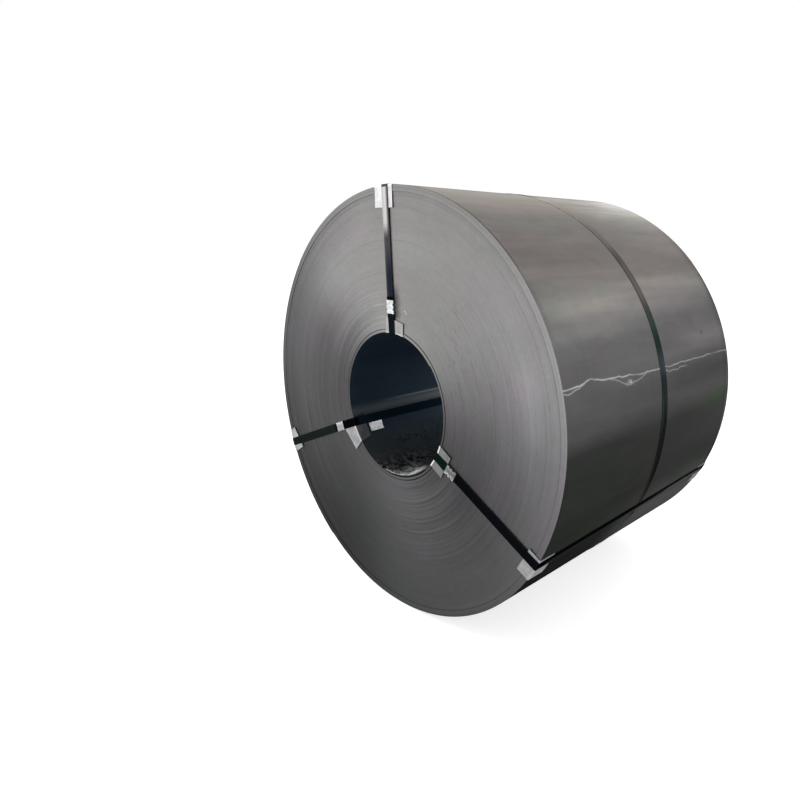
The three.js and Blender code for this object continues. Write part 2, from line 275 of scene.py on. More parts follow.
def ring_stray(middle, angles, seed, end):
    """How far each group of turns stands back from the end, groups x angles: a slow random walk
    from group to group, plus one and two waves round the axis whose place drifts with it, plus a
    random part where the groups show. The near end is evener where they don't. From 0 to the
    greatest stray."""
    rng = np.random.default_rng(seed)
    turn = np.radians(angles)[None, :]
    count = len(middle)
    show = ring_show(middle[:, None], angles[None, :])
    walk = np.cumsum(rng.normal(0, 0.25, count))[:, None]
    one = 0.06 * np.cos(turn - np.cumsum(rng.normal(0, 0.35, count))[:, None])
    two = 0.04 * np.cos(2 * turn - np.cumsum(rng.normal(0, 0.5, count))[:, None])
    loose = rng.uniform(-1, 1, (count, 1)) * show
    uneven = 0.08 + show if end < 0 else 1.0
    return TURN_STRAY * (0.5 + np.minimum(uneven, 1) * (0.16 * np.sin(walk) + one + two) + 0.24 * loose)


def end_rows(end, angles, seed):
    """Rows of one end from the bore outwards: radius, place along the axis, and how dark a line is
    there. Each group of turns is four rows, dark at its two borders where the groups show. The
    gaps beside the inner and the last wraps are painted dark right across as painted shade, the
    outer one by how far it is open, and near the bore low down the lines and the inner gap are
    darkest. The end is -1 for the near one and 1 for the far one."""
    inner, outer = end_rings(seed)
    count = len(inner)
    back = np.zeros((count, len(angles)))
    middle = (inner + outer) / 2
    back[2:-2] = ring_stray(middle[2:-2], angles, seed + 1, end)
    opened = 0.15 + 0.85 * np.clip(lobe(angles, 15, 50) + lobe(angles, 140, 45), 0, 1)
    back[1] = WRAP_GAP_DEPTH
    back[-2] = WRAP_GAP_DEPTH * 0.25 * opened
    depth_of_line = np.random.default_rng(seed + 2).uniform(0.3, 1.0, (count, 1))
    # Near the bore low down the lines are much darker: painted shade.
    by_bore = 1 + 3.8 * lobe(angles, 290, 26)[None, :] * smooth_step(middle, 0.31, 0.27)[:, None]
    line = depth_of_line * ring_show(middle[:, None], angles[None, :]) * by_bore
    line[1] = 2.4 + 2.5 * lobe(angles, 288, 26)
    line[-2] = 0.5 * opened
    slack = np.minimum(SLACK_LINE, (outer - inner)[:, None] / 3)
    radius = np.empty((count, 4, len(angles)))
    radius[:, 0] = inner[:, None] + HAIR / 2
    radius[:, 3] = outer[:, None] - HAIR / 2
    radius[0, 0] = inner_radius(angles)
    radius[-1, 3] = outer_radius(angles) - STRIP_CORNER
    radius[:, 1] = radius[:, 0] + slack
    radius[:, 2] = radius[:, 3] - slack
    along = np.repeat(end * (HALF_WIDTH - back)[:, None], 4, 1)
    lines = line[:, None] * np.array([1, 0, 0, 1])[None, :, None]
    lines[[1, -2]] = line[[1, -2]][:, None]
    lines[0, 0] = lines[-1, 3] = 0
    return radius.reshape(4 * count, -1), along.reshape(4 * count, -1), lines.reshape(4 * count, -1)


def outside_rows(angles):
    """Rows of the outside from the near end to the far one. Its radius is the strip's spiral
    less a shallow wave of the sheet, of long waves in both directions."""
    places = HALF_WIDTH * np.linspace(-1, 1, BELLY_ROWS)
    places[[0, -1]] += [STRIP_CORNER, -STRIP_CORNER]
    y = places[:, None]
    turn = np.radians(angles)[None, :]
    wave = np.sin(9 * turn + 2.2 * np.sin(4 * y)) * np.sin(5.5 * y + 1.5 * np.sin(2 * turn))
    wave = wave + 0.6 * np.sin(17 * turn - 6 * y + 2) + 0.4 * np.sin(28 * turn + 3 * np.sin(7 * y))
    radius = outer_radius(angles)[None, :] - SHEET_WAVE / 2 * (1 + wave / 2)
    return radius, y + np.zeros_like(radius)


def wound_coil():
    """The whole coil as one closed grid: the near end, the outside, the far end and the bore. The
    bore's material makes its own colour."""
    angles = column_angles()
    near_radius, near_along, near_line = end_rows(-1, angles, NEAR_SEED)
    far_radius, far_along, far_line = end_rows(1, angles, FAR_SEED)
    side_radius, side_along = outside_rows(angles)
    bore_along = HALF_WIDTH * np.linspace(1, -1, BORE_ROWS + 2)[1:-1, None] + np.zeros(len(angles))
    bore_radius = inner_radius(angles)[None, :] + np.zeros((BORE_ROWS, 1))
    radius = np.concatenate([near_radius, side_radius, far_radius[::-1], bore_radius])
    along = np.concatenate([near_along, side_along, far_along[::-1], bore_along])
    turn = np.radians(angles)[None, :]
    grid = np.stack([radius * np.cos(turn), along, radius * np.sin(turn) + AXIS_HEIGHT], -1)
    ends, sides = len(near_radius), len(side_radius)
    line = np.zeros_like(radius)
    line[:ends] = near_line
    line[ends + sides:-BORE_ROWS] = far_line[::-1]
    part = np.full(len(radius), END)
    part[ends - 1:ends + sides] = OUTSIDE
    part[-BORE_ROWS - 1:] = BORE
    shade = np.concatenate([
        end_shade(near_radius, angles, -1), outside_shade(side_along, angles),
        end_shade(far_radius[::-1], angles, 1), np.ones((*bore_radius.shape, 3)),
    ])
    facts = dict(ring_line=line, ring_show=ring_show(radius, angles[None, :]), shade=shade)
    materials = [steel_end(), steel_outside(), steel_bore()]
    piece = mesh_piece("wound_coil", grid, True, materials, facts, np.repeat(part, len(angles)))
    stand_for(piece, "coil_body")


# ---- tones of the steel ----

# The near end's painted light and shade, as the logarithm of how light it is: its level at MID_WALL
# and what is added for each metre outwards, and waves round the axis: how many to a turn, their
# strength and heading at MID_WALL, and the strength and heading that are added for each metre
# outwards. All but the counts of waves and MID_WALL itself are the output of a least-squares fit.
MID_WALL = 0.5
NEAR_END_LEVEL = (-2.33, -0.09)
NEAR_END_WAVES = ((1, 0.72, 67, 0.87, 16), (2, 0.10, 85, 1.19, -11),
                  (3, 0.13, 31, 0.19, 33), (4, 0.11, 17, 0.20, -9))
# Patches of painted light and shade on it: strength, heading and width, and the two radii between
# which the patch sets in, outwards where the second is the larger.
NEAR_END_PATCHES = ((-0.35, 234, 26, 0.33, 0.50), (-0.25, 186, 18, 0.60, 0.68),
                    (-0.14, 204, 46, 0.25, 0.27), (-0.58, 227, 24, 0.52, 0.68),
                    (0.16, 126, 16, 0.38, 0.46), (-0.30, 123, 32, 0.54, 0.70),
                    (0.12, 136, 20, 0.33, 0.36), (-0.06, 162, 16, 0.44, 0.48),
                    (-0.13, 148, 14, 0.37, 0.41), (0.16, 150, 19, 0.45, 0.55),
                    (-0.11, 300, 22, 0.33, 0.35), (0.09, 300, 22, 0.38, 0.43),
                    (-0.10, -5, 16, 0.42, 0.45), (0.10, -5, 16, 0.46, 0.50),
                    (0.11, 170, 14, 0.70, 0.72), (-0.10, 226, 22, 0.63, 0.70),
                    (-0.12, 128, 26, 0.37, 0.30), (-0.11, 46, 20, 0.62, 0.71),
                    (0.13, 332, 16, 0.58, 0.70), (-0.08, 290, 12, 0.50, 0.60),
                    (0.09, 74, 28, 0.42, 0.55), (0.10, 352, 20, 0.36, 0.28),
                    (0.14, 105, 11, 0.55, 0.62), (0.17, 11, 11, 0.55, 0.60),
                    (-0.14, 148, 20, 0.62, 0.69), (-0.20, 12, 16, 0.62, 0.70),
                    (-0.20, 245, 15, 0.46, 0.52), (-0.16, 325, 20, 0.37, 0.41),
                    (0.16, 325, 20, 0.45, 0.50), (0.10, 138, 28, 0.33, 0.355),
                    (-0.10, 138, 28, 0.365, 0.39), (-0.10, 172, 20, 0.37, 0.395),
                    (0.10, 172, 20, 0.41, 0.44))
# How light the outside is, as painted reflection and shade, by height in degrees and by place
# along the coil, from 0 at the near end to 1 at the far one. Steps: strength, and the heights
# between which the step sets in.
OUTSIDE_BASE = 0.022
OUTSIDE_STEPS = ((0.013, -10, -20), (0.047, -3, 5), (0.040, 6, 15), (0.058, 14, 25),
                 (0.045, 40, 52), (0.195, 52, 74), (-0.20, 76.5, 82))
# Bands along the coil: strength at its near and far end, height and width.
OUTSIDE_BANDS = ((0.004, 0.004, 0, 3), (0.010, 0, 29, 5), (0, -0.05, 28, 10), (0, -0.015, 8, 4),
                 (0.014, 0, 41, 3), (-0.014, 0, 48, 3), (0.010, 0, 9, 3), (0.003, 0.003, -13, 3),
                 (0.022, 0, 40, 2), (0.05, 0.05, 76, 2), (-0.004, -0.004, -25, 4))
# Bands that fade in: strength, height and width, and the places between which the band sets in.
FADING_BANDS = ((0.24, 67, 10, 0.45, 0.90), (0.34, 73, 7, 0.76, 0.97), (0.06, 75, 3, 0.3, 0.6),
                (-0.012, 10, 4, 0.45, 0.90), (0.045, 18, 4, 0.45, 0.90), (0.022, -25, 4, 0.3, 0.6),
                (-0.020, 24.5, 2, 0.15, 0.40), (0.032, 17, 2.5, 0.6, 0.8))


def tinted(lightness, warmth):
    """Linear colours: the lightness times a tint from cool violet (-1) over neutral to warm (1)."""
    warm, cool = np.array([0.10, -0.01, -0.09]), np.array([-0.01, -0.025, 0.035])
    share = np.clip(warmth, -1, 1)[..., None]
    return lightness[..., None] * (1 + np.where(share > 0, share * warm, -share * cool))


def end_shade(radius, angles, end):
    """Colour of the strip's cut edges on an end. The near one is painted light and shade: a product of
    waves round the axis that grow or turn outwards and of patches, with a green cast at the lower
    left and a violet one on both sides; the far one is painted shade, darker towards the floor."""
    turn = np.radians(angles)[None, :] + 0 * radius
    # The far end: painted shade, darker towards the floor.
    if end > 0:
        return tinted(0.13 * np.exp(0.45 * np.sin(turn)), np.sin(turn))
    at_middle, outwards = NEAR_END_LEVEL
    level = at_middle + outwards * (radius - MID_WALL)
    for count, strength, heading, growth, growth_heading in NEAR_END_WAVES:
        level = level + strength * np.cos(count * (turn - math.radians(heading)))
        level = level + growth * (radius - MID_WALL) * np.cos(count * (turn - math.radians(growth_heading)))
    for strength, heading, width, low, high in NEAR_END_PATCHES:
        level = level + strength * lobe(angles, heading, width)[None, :] * smooth_step(radius, low, high)
    warmth = 0.40 * np.cos(turn - math.radians(80)) - 0.20
    green = lobe(angles, 232, 34)[None, :] * smooth_step(radius, 0.36, 0.50)
    violet = (lobe(angles, -5, 30) + lobe(angles, 155, 25))[None, :] + 0 * radius
    tint = 1 + green[..., None] * [-0.03, 0.03, -0.01] + violet[..., None] * [0.01, -0.025, 0.015]
    return tinted(np.exp(level), warmth) * tint


def outside_shade(along, angles):
    """Colour of the outside by height and place along it, all painted reflection and shade: near black
    with a green cast low down, a rise above the middle, pale shoulders, cream streaks of painted
    highlight and dark lines over a violet one, a far shoulder that is paler, and a greener patch at
    the far end of the +X side."""
    turn = angles[None, :]
    height = height_of(turn)
    far = (along + HALF_WIDTH) / (2 * HALF_WIDTH)
    on_far = smooth_step(far, 0.45, 0.9)

    def step(low, high):
        return smooth_step(height, low, high)

    def bell(centre, width):
        return np.exp(-((height - centre) / width) ** 2)
    light = OUTSIDE_BASE + far * (0.05 * step(-13, -26) + 0.05 * step(41, 50) * step(80, 73))
    for strength, low, high in OUTSIDE_STEPS:
        light = light + strength * step(low, high)
    for near_strength, far_strength, centre, width in OUTSIDE_BANDS:
        light = light + (near_strength * (1 - far) + far_strength * far) * bell(centre, width)
    for strength, centre, width, start, whole in FADING_BANDS:
        light = light + strength * bell(centre, width) * smooth_step(far, start, whole)
    light = light + 0.028 * bell(15, 2.5) * stretch(far, 0.1, 0.3, 0.5, 0.9)
    light = light - 0.032 * bell(36 + 4.5 * far, 2.8) * smooth_step(far, 0.40, 0.55)
    light = light + 0.23 * lobe(turn, 101, 9)
    # Underneath: painted shade, with painted floor reflection towards the far end.
    below = step(-28, -31)
    light = light * (1 - 0.45 * below) + 0.085 * below * smooth_step(far, 0.32, 0.62)
    # Cream streaks: painted highlights.
    cream_highlight = bell(37.5 - 4 * far, 1.8) * smooth_step(far, 0.42, 0.60)
    cream_highlight = cream_highlight + 0.8 * bell(30 + 2 * far, 2.2) * stretch(far, 0.04, 0.12, 0.34, 0.50)
    cream_highlight = cream_highlight + 0.7 * bell(24.5, 1.7) * stretch(far, 0.08, 0.16, 0.26, 0.40)
    light = light * (1 + 0.24 * cream_highlight) * (1 - 0.35 * smooth_step(far, 0.955, 1) * step(60, 40))
    warmth = 0.6 * step(20, 40) + 0.5 * step(58, 68) * (1 - on_far) + 0.35 * cream_highlight - 0.25 * bell(12, 12)
    warmth = warmth + 0.3 * bell(-31, 2.5) * smooth_step(far, 0.3, 0.6)
    right = smooth_step(np.cos(np.radians(turn)), -0.2, 0.2)
    green = 0.8 * step(-1, -6) * (1 - 0.85 * smooth_step(far, 0.20, 0.55)) * (1 - below)
    green = green + 2.8 * bell(-1.5, 3.0) * smooth_step(far, 0.66, 0.97) * right + 0.05 * cream_highlight
    violet = bell(22, 8) * on_far + 0.5 * bell(44, 6)
    tint = 1 + green[..., None] * [-0.05, 0.12, -0.08] + violet[..., None] * [0.015, -0.03, 0.015]
    return tinted(light, warmth) * tint


# ---- straps ----

def lay_round(flat, angle_at):
    """Takes points from the flat layout (X their radius, Y along the coil, Z across) to their
    place round the axis: a turn about it by the angle at that radius and place."""
    x, y, z = np.moveaxis(flat, -1, 0)
    turn = np.radians(angle_at(x, y))
    return np.stack([x * np.cos(turn) - z * np.sin(turn), y,
                     x * np.sin(turn) + z * np.cos(turn) + AXIS_HEIGHT], -1)


def band_angle(band, radius, y):
    """Angle of a bore band: its heading, its drift along the coil, and its offset from the axis."""
    along = (y + HALF_WIDTH) / (2 * HALF_WIDTH)
    return band["heading"] + band["askew"] * along - np.degrees(np.arcsin(band["offset"] / radius))


def seal_radius(band):
    """Radius of the middle of a bore band's seal: past the protector's flange and a gap."""
    return BORE_RADIUS + band["bore"]["flange"] + band["seal_gap"] + SEAL_LENGTH / 2


def inner_seat(angle):
    """Radius just inside the bore's wall, clear of the middles of the CAD model's facets."""
    return inner_radius(angle) * math.cos(math.pi / FACETS) - SEAT_GAP


def outer_seat(angle):
    """Radius just outside the coil."""
    return outer_radius(angle) + SEAT_GAP


def band_seats(band):
    """Radius of a bore band's underside in the bore and outside the coil."""
    outer = outer_seat(band_angle(band, COIL_RADIUS, 0)) + PROTECTOR_SHEET + SEAT_GAP
    wall = inner_seat(band_angle(band, BORE_RADIUS, 0)) - PROTECTOR_SHEET - SEAT_GAP
    return math.sqrt(wall ** 2 - (STRAP_WIDTH / 2) ** 2), outer


def run(start, stop, step=0.012):
    """Even stations from start to stop, about a step apart."""
    count = max(2, int(abs(stop - start) / step) + 1)
    return np.linspace(start, stop, count)


def straight(x, y, away, lift=0.0):
    """Stations of a straight stretch: a station is x, y, the two parts of the direction away from
    the steel, and the lift."""
    x, y, lift = np.broadcast_arrays(x, y, lift)
    facing = np.broadcast_to(away, (len(x), 2))
    return np.column_stack([x, y, facing, lift])


def bend(x, y, first):
    """Stations of a quarter turn about a point, from one direction on."""
    turn = np.radians(np.linspace(first, first + 90, 9)[1:-1])
    facing = np.column_stack([np.cos(turn), np.sin(turn)])
    return np.column_stack([x + BEND_RADIUS * facing[:, 0], y + BEND_RADIUS * facing[:, 1],
                            facing, np.zeros(len(turn))])


def bore_band_stations(band):
    """From the lower end under the seal over the rim, along the outside, round the far end, back
    through the bore, and over its own start to the upper end."""
    inner, outer = band_seats(band)
    reach = FACE_SEAT - BEND_RADIUS
    start = seal_radius(band) - LAP_LENGTH
    ramp = run(start - LAP_RAMP, start - SEAT_GAP, 0.002)
    climb = smooth_step(ramp, start - LAP_RAMP, start)
    return np.concatenate([
        straight(run(start, outer - BEND_RADIUS, 0.004), -FACE_SEAT, (0, -1)),
        bend(outer - BEND_RADIUS, -reach, -90),
        straight(outer, run(-reach, reach), (1, 0)),
        bend(outer - BEND_RADIUS, reach, 0),
        straight(run(outer - BEND_RADIUS, inner + BEND_RADIUS), FACE_SEAT, (0, 1)),
        bend(inner + BEND_RADIUS, reach, 90),
        straight(inner, run(reach, -reach), (-1, 0)),
        bend(inner + BEND_RADIUS, -reach, 180),
        straight(run(inner + BEND_RADIUS, start - LAP_RAMP, 0.004)[:-1], -FACE_SEAT, (0, -1)),
        straight(ramp, -FACE_SEAT, (0, -1), climb * LAP_LIFT),
        straight(run(start, seal_radius(band) + LAP_LENGTH, 0.0015)[1:], -FACE_SEAT, (0, -1), LAP_LIFT),
    ])


def strap_section():
    """Section of rolled strapping with rounded edges, from edge to edge: its places across, and
    the heights of its under and its upper side there."""
    half, thick = STRAP_WIDTH / 2, STRAP_THICKNESS
    across = half - thick * np.array([0, 0.18, 0.6, 4])
    lower = thick * np.array([0.36, 0.12, 0, 0])
    across = np.concatenate([-across, [0], across[::-1]])
    lower = np.concatenate([lower, [0], lower[::-1]])
    return across, lower, thick - lower


def notch_share(distance):
    """How much of a crimp's full bite is made at a distance along the seal from its middle: two
    trapezoids, whole over half their length."""
    from_notch = np.abs(np.abs(distance) - NOTCH_PITCH / 2)
    return np.clip((NOTCH_LENGTH / 2 - from_notch) / (NOTCH_LENGTH / 4), 0, 1)


def swept_strap(name, stations, place, draw_in, shade):
    """A strap: its section carried along the stations, drawn in where a crimp bites. The shade
    gives the paint's colour, and where it is matte with painted light, at a distance along the strap
    and across it."""
    across, lower, upper = strap_section()
    x, y, away_x, away_y, lift = (column[:, None] for column in stations.T)
    width = 1 - NOTCH_DEPTH / (STRAP_WIDTH / 2) * draw_in[:, None]

    def side(height):
        return place(np.stack([x + away_x * (lift + height), y + away_y * (lift + height),
                               across * width + 0 * x], -1))
    steps = np.hypot(*np.diff(stations[:, :2], axis=0).T)
    travel = np.concatenate([[0], np.cumsum(steps)])[:, None] + 0 * across
    colour, matte_painted_light = shade(travel, across)
    facts = dict(along=travel, across=across + 0 * travel, shade=colour, matte_painted_light=matte_painted_light)
    return sheet_piece(f"strap_{name}", side(lower), side(upper), strap_steel(name), facts)


# Linear colour of the paint on the bore bands, what is added to it in the bore, on the top band
# near its seal, and between the bore and the seal, and the tint of its painted light.
PAINT_BLACK = (0.0056, 0.0060, 0.0080)
BORE_TINT = (0.014, 0.032, 0.046)
BLUISH_TINT = (-0.001, 0.005, 0.013)
SEAL_STRETCH_TINT = {"top": (0.004, 0.009, 0.010), "left": (0, 0, 0), "right": (0.001, 0.009, 0.003)}
PAINTED_LIGHT_TINT = {"top": (1.03, 0.97, 0.98), "left": (0.85, 1.08, 0.98), "right": (0.95, 1.01, 1.0)}
# Stretches of a bore band by the way along it from the near rim: where each sets in, is whole,
# fades and is gone. The far rim is 1.05 from the near one, and the bore's mouths 1.54 and 2.59.
ALONG_OUTSIDE = (0.03, 0.06, 1.03, 1.06)
IN_BORE = (1.52, 1.56, 2.57, 2.585)
BEFORE_SEAL = (2.57, 2.585, 2.658, 2.668)
# Places before the near rim between which the top band turns bluish, greyer as its painted
# highlight fades in, and pale with its painted highlight, and the left one paler.
TOP_BLUISH = (-0.19, -0.29)
TOP_HIGHLIGHT_FADE = (-0.295, -0.185)
TOP_HIGHLIGHT = (-0.174, -0.112)
LEFT_PALER = (-0.385, -0.33)
# How light the belly band's paint is, by height on the coil in degrees, as painted reflection:
# steps of a strength, and the heights between which each sets in.
BELLY_BASE = 0.030
BELLY_STEPS = ((0.018, 0, 6), (0.036, 11, 14.5), (-0.032, 16, 20), (0.030, 21, 27),
               (0.066, 28, 35), (0.012, -13, -20), (0.026, -17, -25))
# A distance from a seal at which nothing is crimped.
FAR_OFF = 9


def band_painted_light(name, past_rim, across):
    """How much painted light a bore band's paint takes, and where it turns matte with it. The top one
    has a painted highlight over its last stretch to the near rim, fading in greyer before it, and a
    pale painted line on one edge; the left one is a little paler from its seal to the rim; and the
    right one takes painted floor light, matte, on the lower side of its run along the outside, on a
    wider part of it towards the far end."""
    painted_light, matte_painted_light = np.zeros_like(past_rim), np.zeros_like(past_rim)
    on_end = smooth_step(past_rim, 0.004, 0.001)
    # Top band: painted highlight near the rim, fading in greyer, and a pale painted edge line.
    if name == "top":
        highlight_side = smooth_step(across, -0.0105, -0.006) * (1 - 0.4 * smooth_step(across, 0.010, 0.0135))
        below_rim = smooth_step(past_rim, -0.005, -0.008)
        highlight_fade = 0.014 + 0.036 * smooth_step(past_rim, *TOP_HIGHLIGHT_FADE)
        painted_light = 0.41 * smooth_step(past_rim, *TOP_HIGHLIGHT) * highlight_side * below_rim
        painted_light = painted_light + (0.10 * smooth_step(across, 0.012, 0.0135) + highlight_fade) * on_end
    if name == "left":
        painted_light = 0.020 * smooth_step(past_rim, *LEFT_PALER) * on_end
    # Right band: painted floor light on the lower side of its run along the outside.
    if name == "right":
        along = np.clip(past_rim / (2 * HALF_WIDTH), 0, 1)
        reach = 0.009 * smooth_step(along, 0.60, 0.95)
        matte_painted_light = smooth_step(across, 0.002 + reach, -0.004 + reach) * stretch(past_rim, *ALONG_OUTSIDE)
        painted_light = matte_painted_light * (0.035 + 0.075 * smooth_step(along, 0.3, 0.6))
    return painted_light, matte_painted_light


def strap_shade(name):
    """Colour of a bore band's paint and where it is matte with painted light: black, bluish in the bore
    and near the top band's seal, tinted between the bore and the seal, and paler where it takes
    painted light."""
    def shade(travel, across):
        past_rim = travel - (COIL_RADIUS - seal_radius(BANDS[name]) + LAP_LENGTH)
        painted_light, matte_painted_light = band_painted_light(name, past_rim, across)
        paint = PAINT_BLACK + stretch(past_rim, *IN_BORE)[..., None] * BORE_TINT
        if name == "top":
            paint = paint + smooth_step(past_rim, *TOP_BLUISH)[..., None] * BLUISH_TINT
        paint = paint + stretch(past_rim, *BEFORE_SEAL)[..., None] * SEAL_STRETCH_TINT[name]
        return paint + painted_light[..., None] * PAINTED_LIGHT_TINT[name], matte_painted_light
    return shade


def belly_shade(travel, across):
    """Colour of the belly band's paint and where it is matte with painted light: painted reflection by
    height, dark green low down, bluish above, grey higher up, and the steel's painted tone beside it
    underneath, low down on the half towards the near end, and over the top, where its very edges
    get painted light."""
    angle = BELLY_SEAL_ANGLE + np.degrees(travel / COIL_RADIUS)
    height = height_of(angle) + 0 * across
    grey = BELLY_BASE
    for strength, low, high in BELLY_STEPS:
        grey = grey + strength * smooth_step(height, low, high)
    green = stretch(height, -18, -10, 26, 32)
    blue = np.exp(-((height - 14) / 4) ** 2)
    paint = grey[..., None] * ([1.04, 1.0, 0.93] + green[..., None] * [-0.24, 0.10, 0.02])
    paint = paint + blue[..., None] * [0.002, -0.008, 0.018]
    steel = outside_shade(np.full((1, len(angle)), BELLY_SHIFT), angle[:, 0])[0][:, None]
    # Where the band takes the steel's painted tone, with painted light on its edges over the top.
    over = smooth_step(height, 44, 51)
    under = smooth_step(height, -28.0, -29.3)
    lit = 0.85 * smooth_step(height, 10, -2) * smooth_step(across, -0.002, -0.012)
    hint = 0.11 * smooth_step(height, 64, 54) - 0.10 * smooth_step(height, 66, 76)
    edge = smooth_step(np.abs(across), 0.0155, 0.0158)
    paint = paint + over[..., None] * (steel * (1 - hint + edge)[..., None] - paint)
    paint = paint + under[..., None] * (steel - paint)
    paint = paint + lit[..., None] * (1.05 * steel - paint)
    return paint, np.maximum(np.maximum(over, under), lit)


def sheet_piece(name, under, over, material, facts):
    """A thin piece from its two faces, each rows x n points. Its section is one loop, out along
    the under face and back along the over face."""
    loop = np.concatenate([under, over[:, ::-1]], 1)
    around = {key: np.concatenate([value, value[:, ::-1]], 1) for key, value in facts.items()}
    return mesh_piece(name, loop, False, [material], around)


def lay_band(flat, band):
    """Takes points from the flat layout to a bore band's place round the axis."""
    return lay_round(flat, lambda x, y: band_angle(band, x, y))


def bore_strap(name, band):
    """A band through the bore, crimped where its seal holds its two ends on the near end."""
    stations = bore_band_stations(band)
    on_near_end = stations[:, 3] < -0.99
    from_seal = np.where(on_near_end, stations[:, 0] - seal_radius(band), FAR_OFF)
    piece = swept_strap(name, stations, lambda flat: lay_band(flat, band), notch_share(from_seal),
                        strap_shade(name))
    stand_for(piece, f"bore_band_{name}")


# ---- seals ----

# How far a seal's sheet swells over the strap, at its middle.
SEAL_SWELL = 0.0006


def seal_section():
    """Sheet folded round both layers of strap with its lips turned in underneath, from lip to
    lip: its inside and its outside as (place across, height) of as many points."""
    inside = STRAP_WIDTH / 2 + SEAT_GAP
    outside = inside + SEAL_SHEET
    low, high = -SEAT_GAP, 2 * STRAP_THICKNESS + 2 * SEAT_GAP
    corner = 0.3 * SEAL_SHEET
    inner = np.array([[outside - SEAL_LIP, low], [inside - corner, low], [inside, low + corner],
                      [inside, high - corner], [inside - corner, high], [0.4 * inside, high]])
    outer = np.array([[outside - SEAL_LIP, low - SEAL_SHEET], [outside - 2 * corner, low - SEAL_SHEET],
                      [outside, low - SEAL_SHEET + 2 * corner], [outside, high + SEAL_SHEET - 2 * corner],
                      [outside - 2 * corner, high + SEAL_SHEET], [0.4 * inside, high + SEAL_SHEET]])
    mirror = np.array([-1, 1])
    return np.concatenate([inner * mirror, inner[::-1]]), np.concatenate([outer * mirror, outer[::-1]])


def seal(name, place, material):
    """A crimped seal: its section carried along it, drawn in at the notches and swelling a little
    between them, as the square of a cosine along it."""
    inside, outside = seal_section()
    along = np.linspace(-SEAL_LENGTH / 2, SEAL_LENGTH / 2, 91)
    width = 1 - NOTCH_DEPTH / (STRAP_WIDTH / 2) * notch_share(along)
    swell = SEAL_SWELL * (1 - notch_share(along)) * np.cos(math.pi * along / SEAL_LENGTH) ** 2

    def face(section, rise):
        across = section[None, :, 0] * width[:, None]
        height = section[None, :, 1] + rise * (section[None, :, 1] > 0) * swell[:, None]
        return place(across, height, along[:, None] + 0 * across)
    under, over = face(inside, 0), face(outside, 1)
    facts = dict(along=along[:, None] + 0 * under[..., 0], across=inside[None, :, 0] + 0 * under[..., 0])
    return sheet_piece(name, under, over, material, facts)


def bore_seal(name, band):
    """The seal of a bore band, on the near end beside the bore."""
    def place(across, height, along):
        return lay_band(np.stack([seal_radius(band) + along, -FACE_SEAT - height, across], -1), band)
    sheet = zinc_sheet(f"seal_{name}", band["seal_level"], glint=band["seal_glint"])
    stand_for(seal(f"seal_{name}", place, sheet), f"bore_band_{name}_seal")


# ---- belly band ----

# Radius of the belly band's underside at the middle of its seal, the seal's lightness, painted
# light for its place as with the other seals, and the degrees between the band's stations round
# the coil.
BELLY_SEAL_SEAT = float(outer_seat(BELLY_SEAL_ANGLE)) + SEAL_SHEET + SEAT_GAP
BELLY_SEAL_LEVEL = 0.45
BELLY_STATION = 0.75


def belly_strap():
    """The belly band: straight through its seal, then round the coil on the steel, bridging the
    strip's tail, and over its own start to the upper end. The floor presses it flat."""
    lap = math.degrees(LAP_LENGTH / COIL_RADIUS)
    ramp = math.degrees(BELLY_RAMP / COIL_RADIUS)
    bridge = math.degrees(math.acos(1 - STRIP_THICKNESS / COIL_RADIUS))

    def stations(angles, radius, facing, lift):
        turn, look = np.radians(angles), np.radians(np.broadcast_to(facing, np.shape(angles)))
        return np.column_stack([radius * np.cos(turn), radius * np.sin(turn), np.cos(look),
                                np.sin(look), np.broadcast_to(lift, np.shape(angles))])

    def in_seal(lift):
        aside = np.linspace(-lap, lap, 60)
        return stations(BELLY_SEAL_ANGLE + aside, BELLY_SEAL_SEAT / np.cos(np.radians(aside)),
                        BELLY_SEAL_ANGLE, lift)
    last = BELLY_SEAL_ANGLE + 360 - lap - ramp
    round_coil = np.arange(BELLY_SEAL_ANGLE + lap + ramp, last, BELLY_STATION)
    past_bridge = round_coil[360 * turns_of(round_coil - TAIL_ANGLE) > bridge]
    round_coil = np.sort(np.concatenate([past_bridge, [TAIL_ANGLE, TAIL_ANGLE + bridge, last]]))
    # At the tail the band still lies on the outermost wrap.
    seat = outer_seat(np.where(np.isclose(round_coil, TAIL_ANGLE), TAIL_ANGLE - 1e-6, round_coil))
    path = np.concatenate([in_seal(0), stations(round_coil, seat, round_coil, 0), in_seal(LAP_LIFT)])
    seal_turn = np.radians(BELLY_SEAL_ANGLE)
    from_seal = path[:, 1] * np.cos(seal_turn) - path[:, 0] * np.sin(seal_turn)
    near_seal = path[:, 0] * np.cos(seal_turn) + path[:, 1] * np.sin(seal_turn) > 0.9 * COIL_RADIUS

    def place(flat):
        above_floor = np.maximum(flat[..., 1] + AXIS_HEIGHT, 0.0)
        return np.stack([flat[..., 0], flat[..., 2] + BELLY_SHIFT, above_floor], -1)
    piece = swept_strap("belly", path, place, notch_share(np.where(near_seal, from_seal, FAR_OFF)),
                        belly_shade)
    stand_for(piece, "belly_band")


def belly_seal():
    """The belly band's seal, flat against the coil at its own angle."""
    away = np.array([math.cos(math.radians(BELLY_SEAL_ANGLE)), math.sin(math.radians(BELLY_SEAL_ANGLE))])

    def place(across, height, along):
        radius = BELLY_SEAL_SEAT + height
        return np.stack([away[0] * radius + away[1] * along, across + BELLY_SHIFT,
                         away[1] * radius - away[0] * along + AXIS_HEIGHT], -1)
    sheet = zinc_sheet("seal_belly", BELLY_SEAL_LEVEL)
    stand_for(seal("seal_belly", place, sheet), "belly_band_seal")


# ---- edge protectors ----

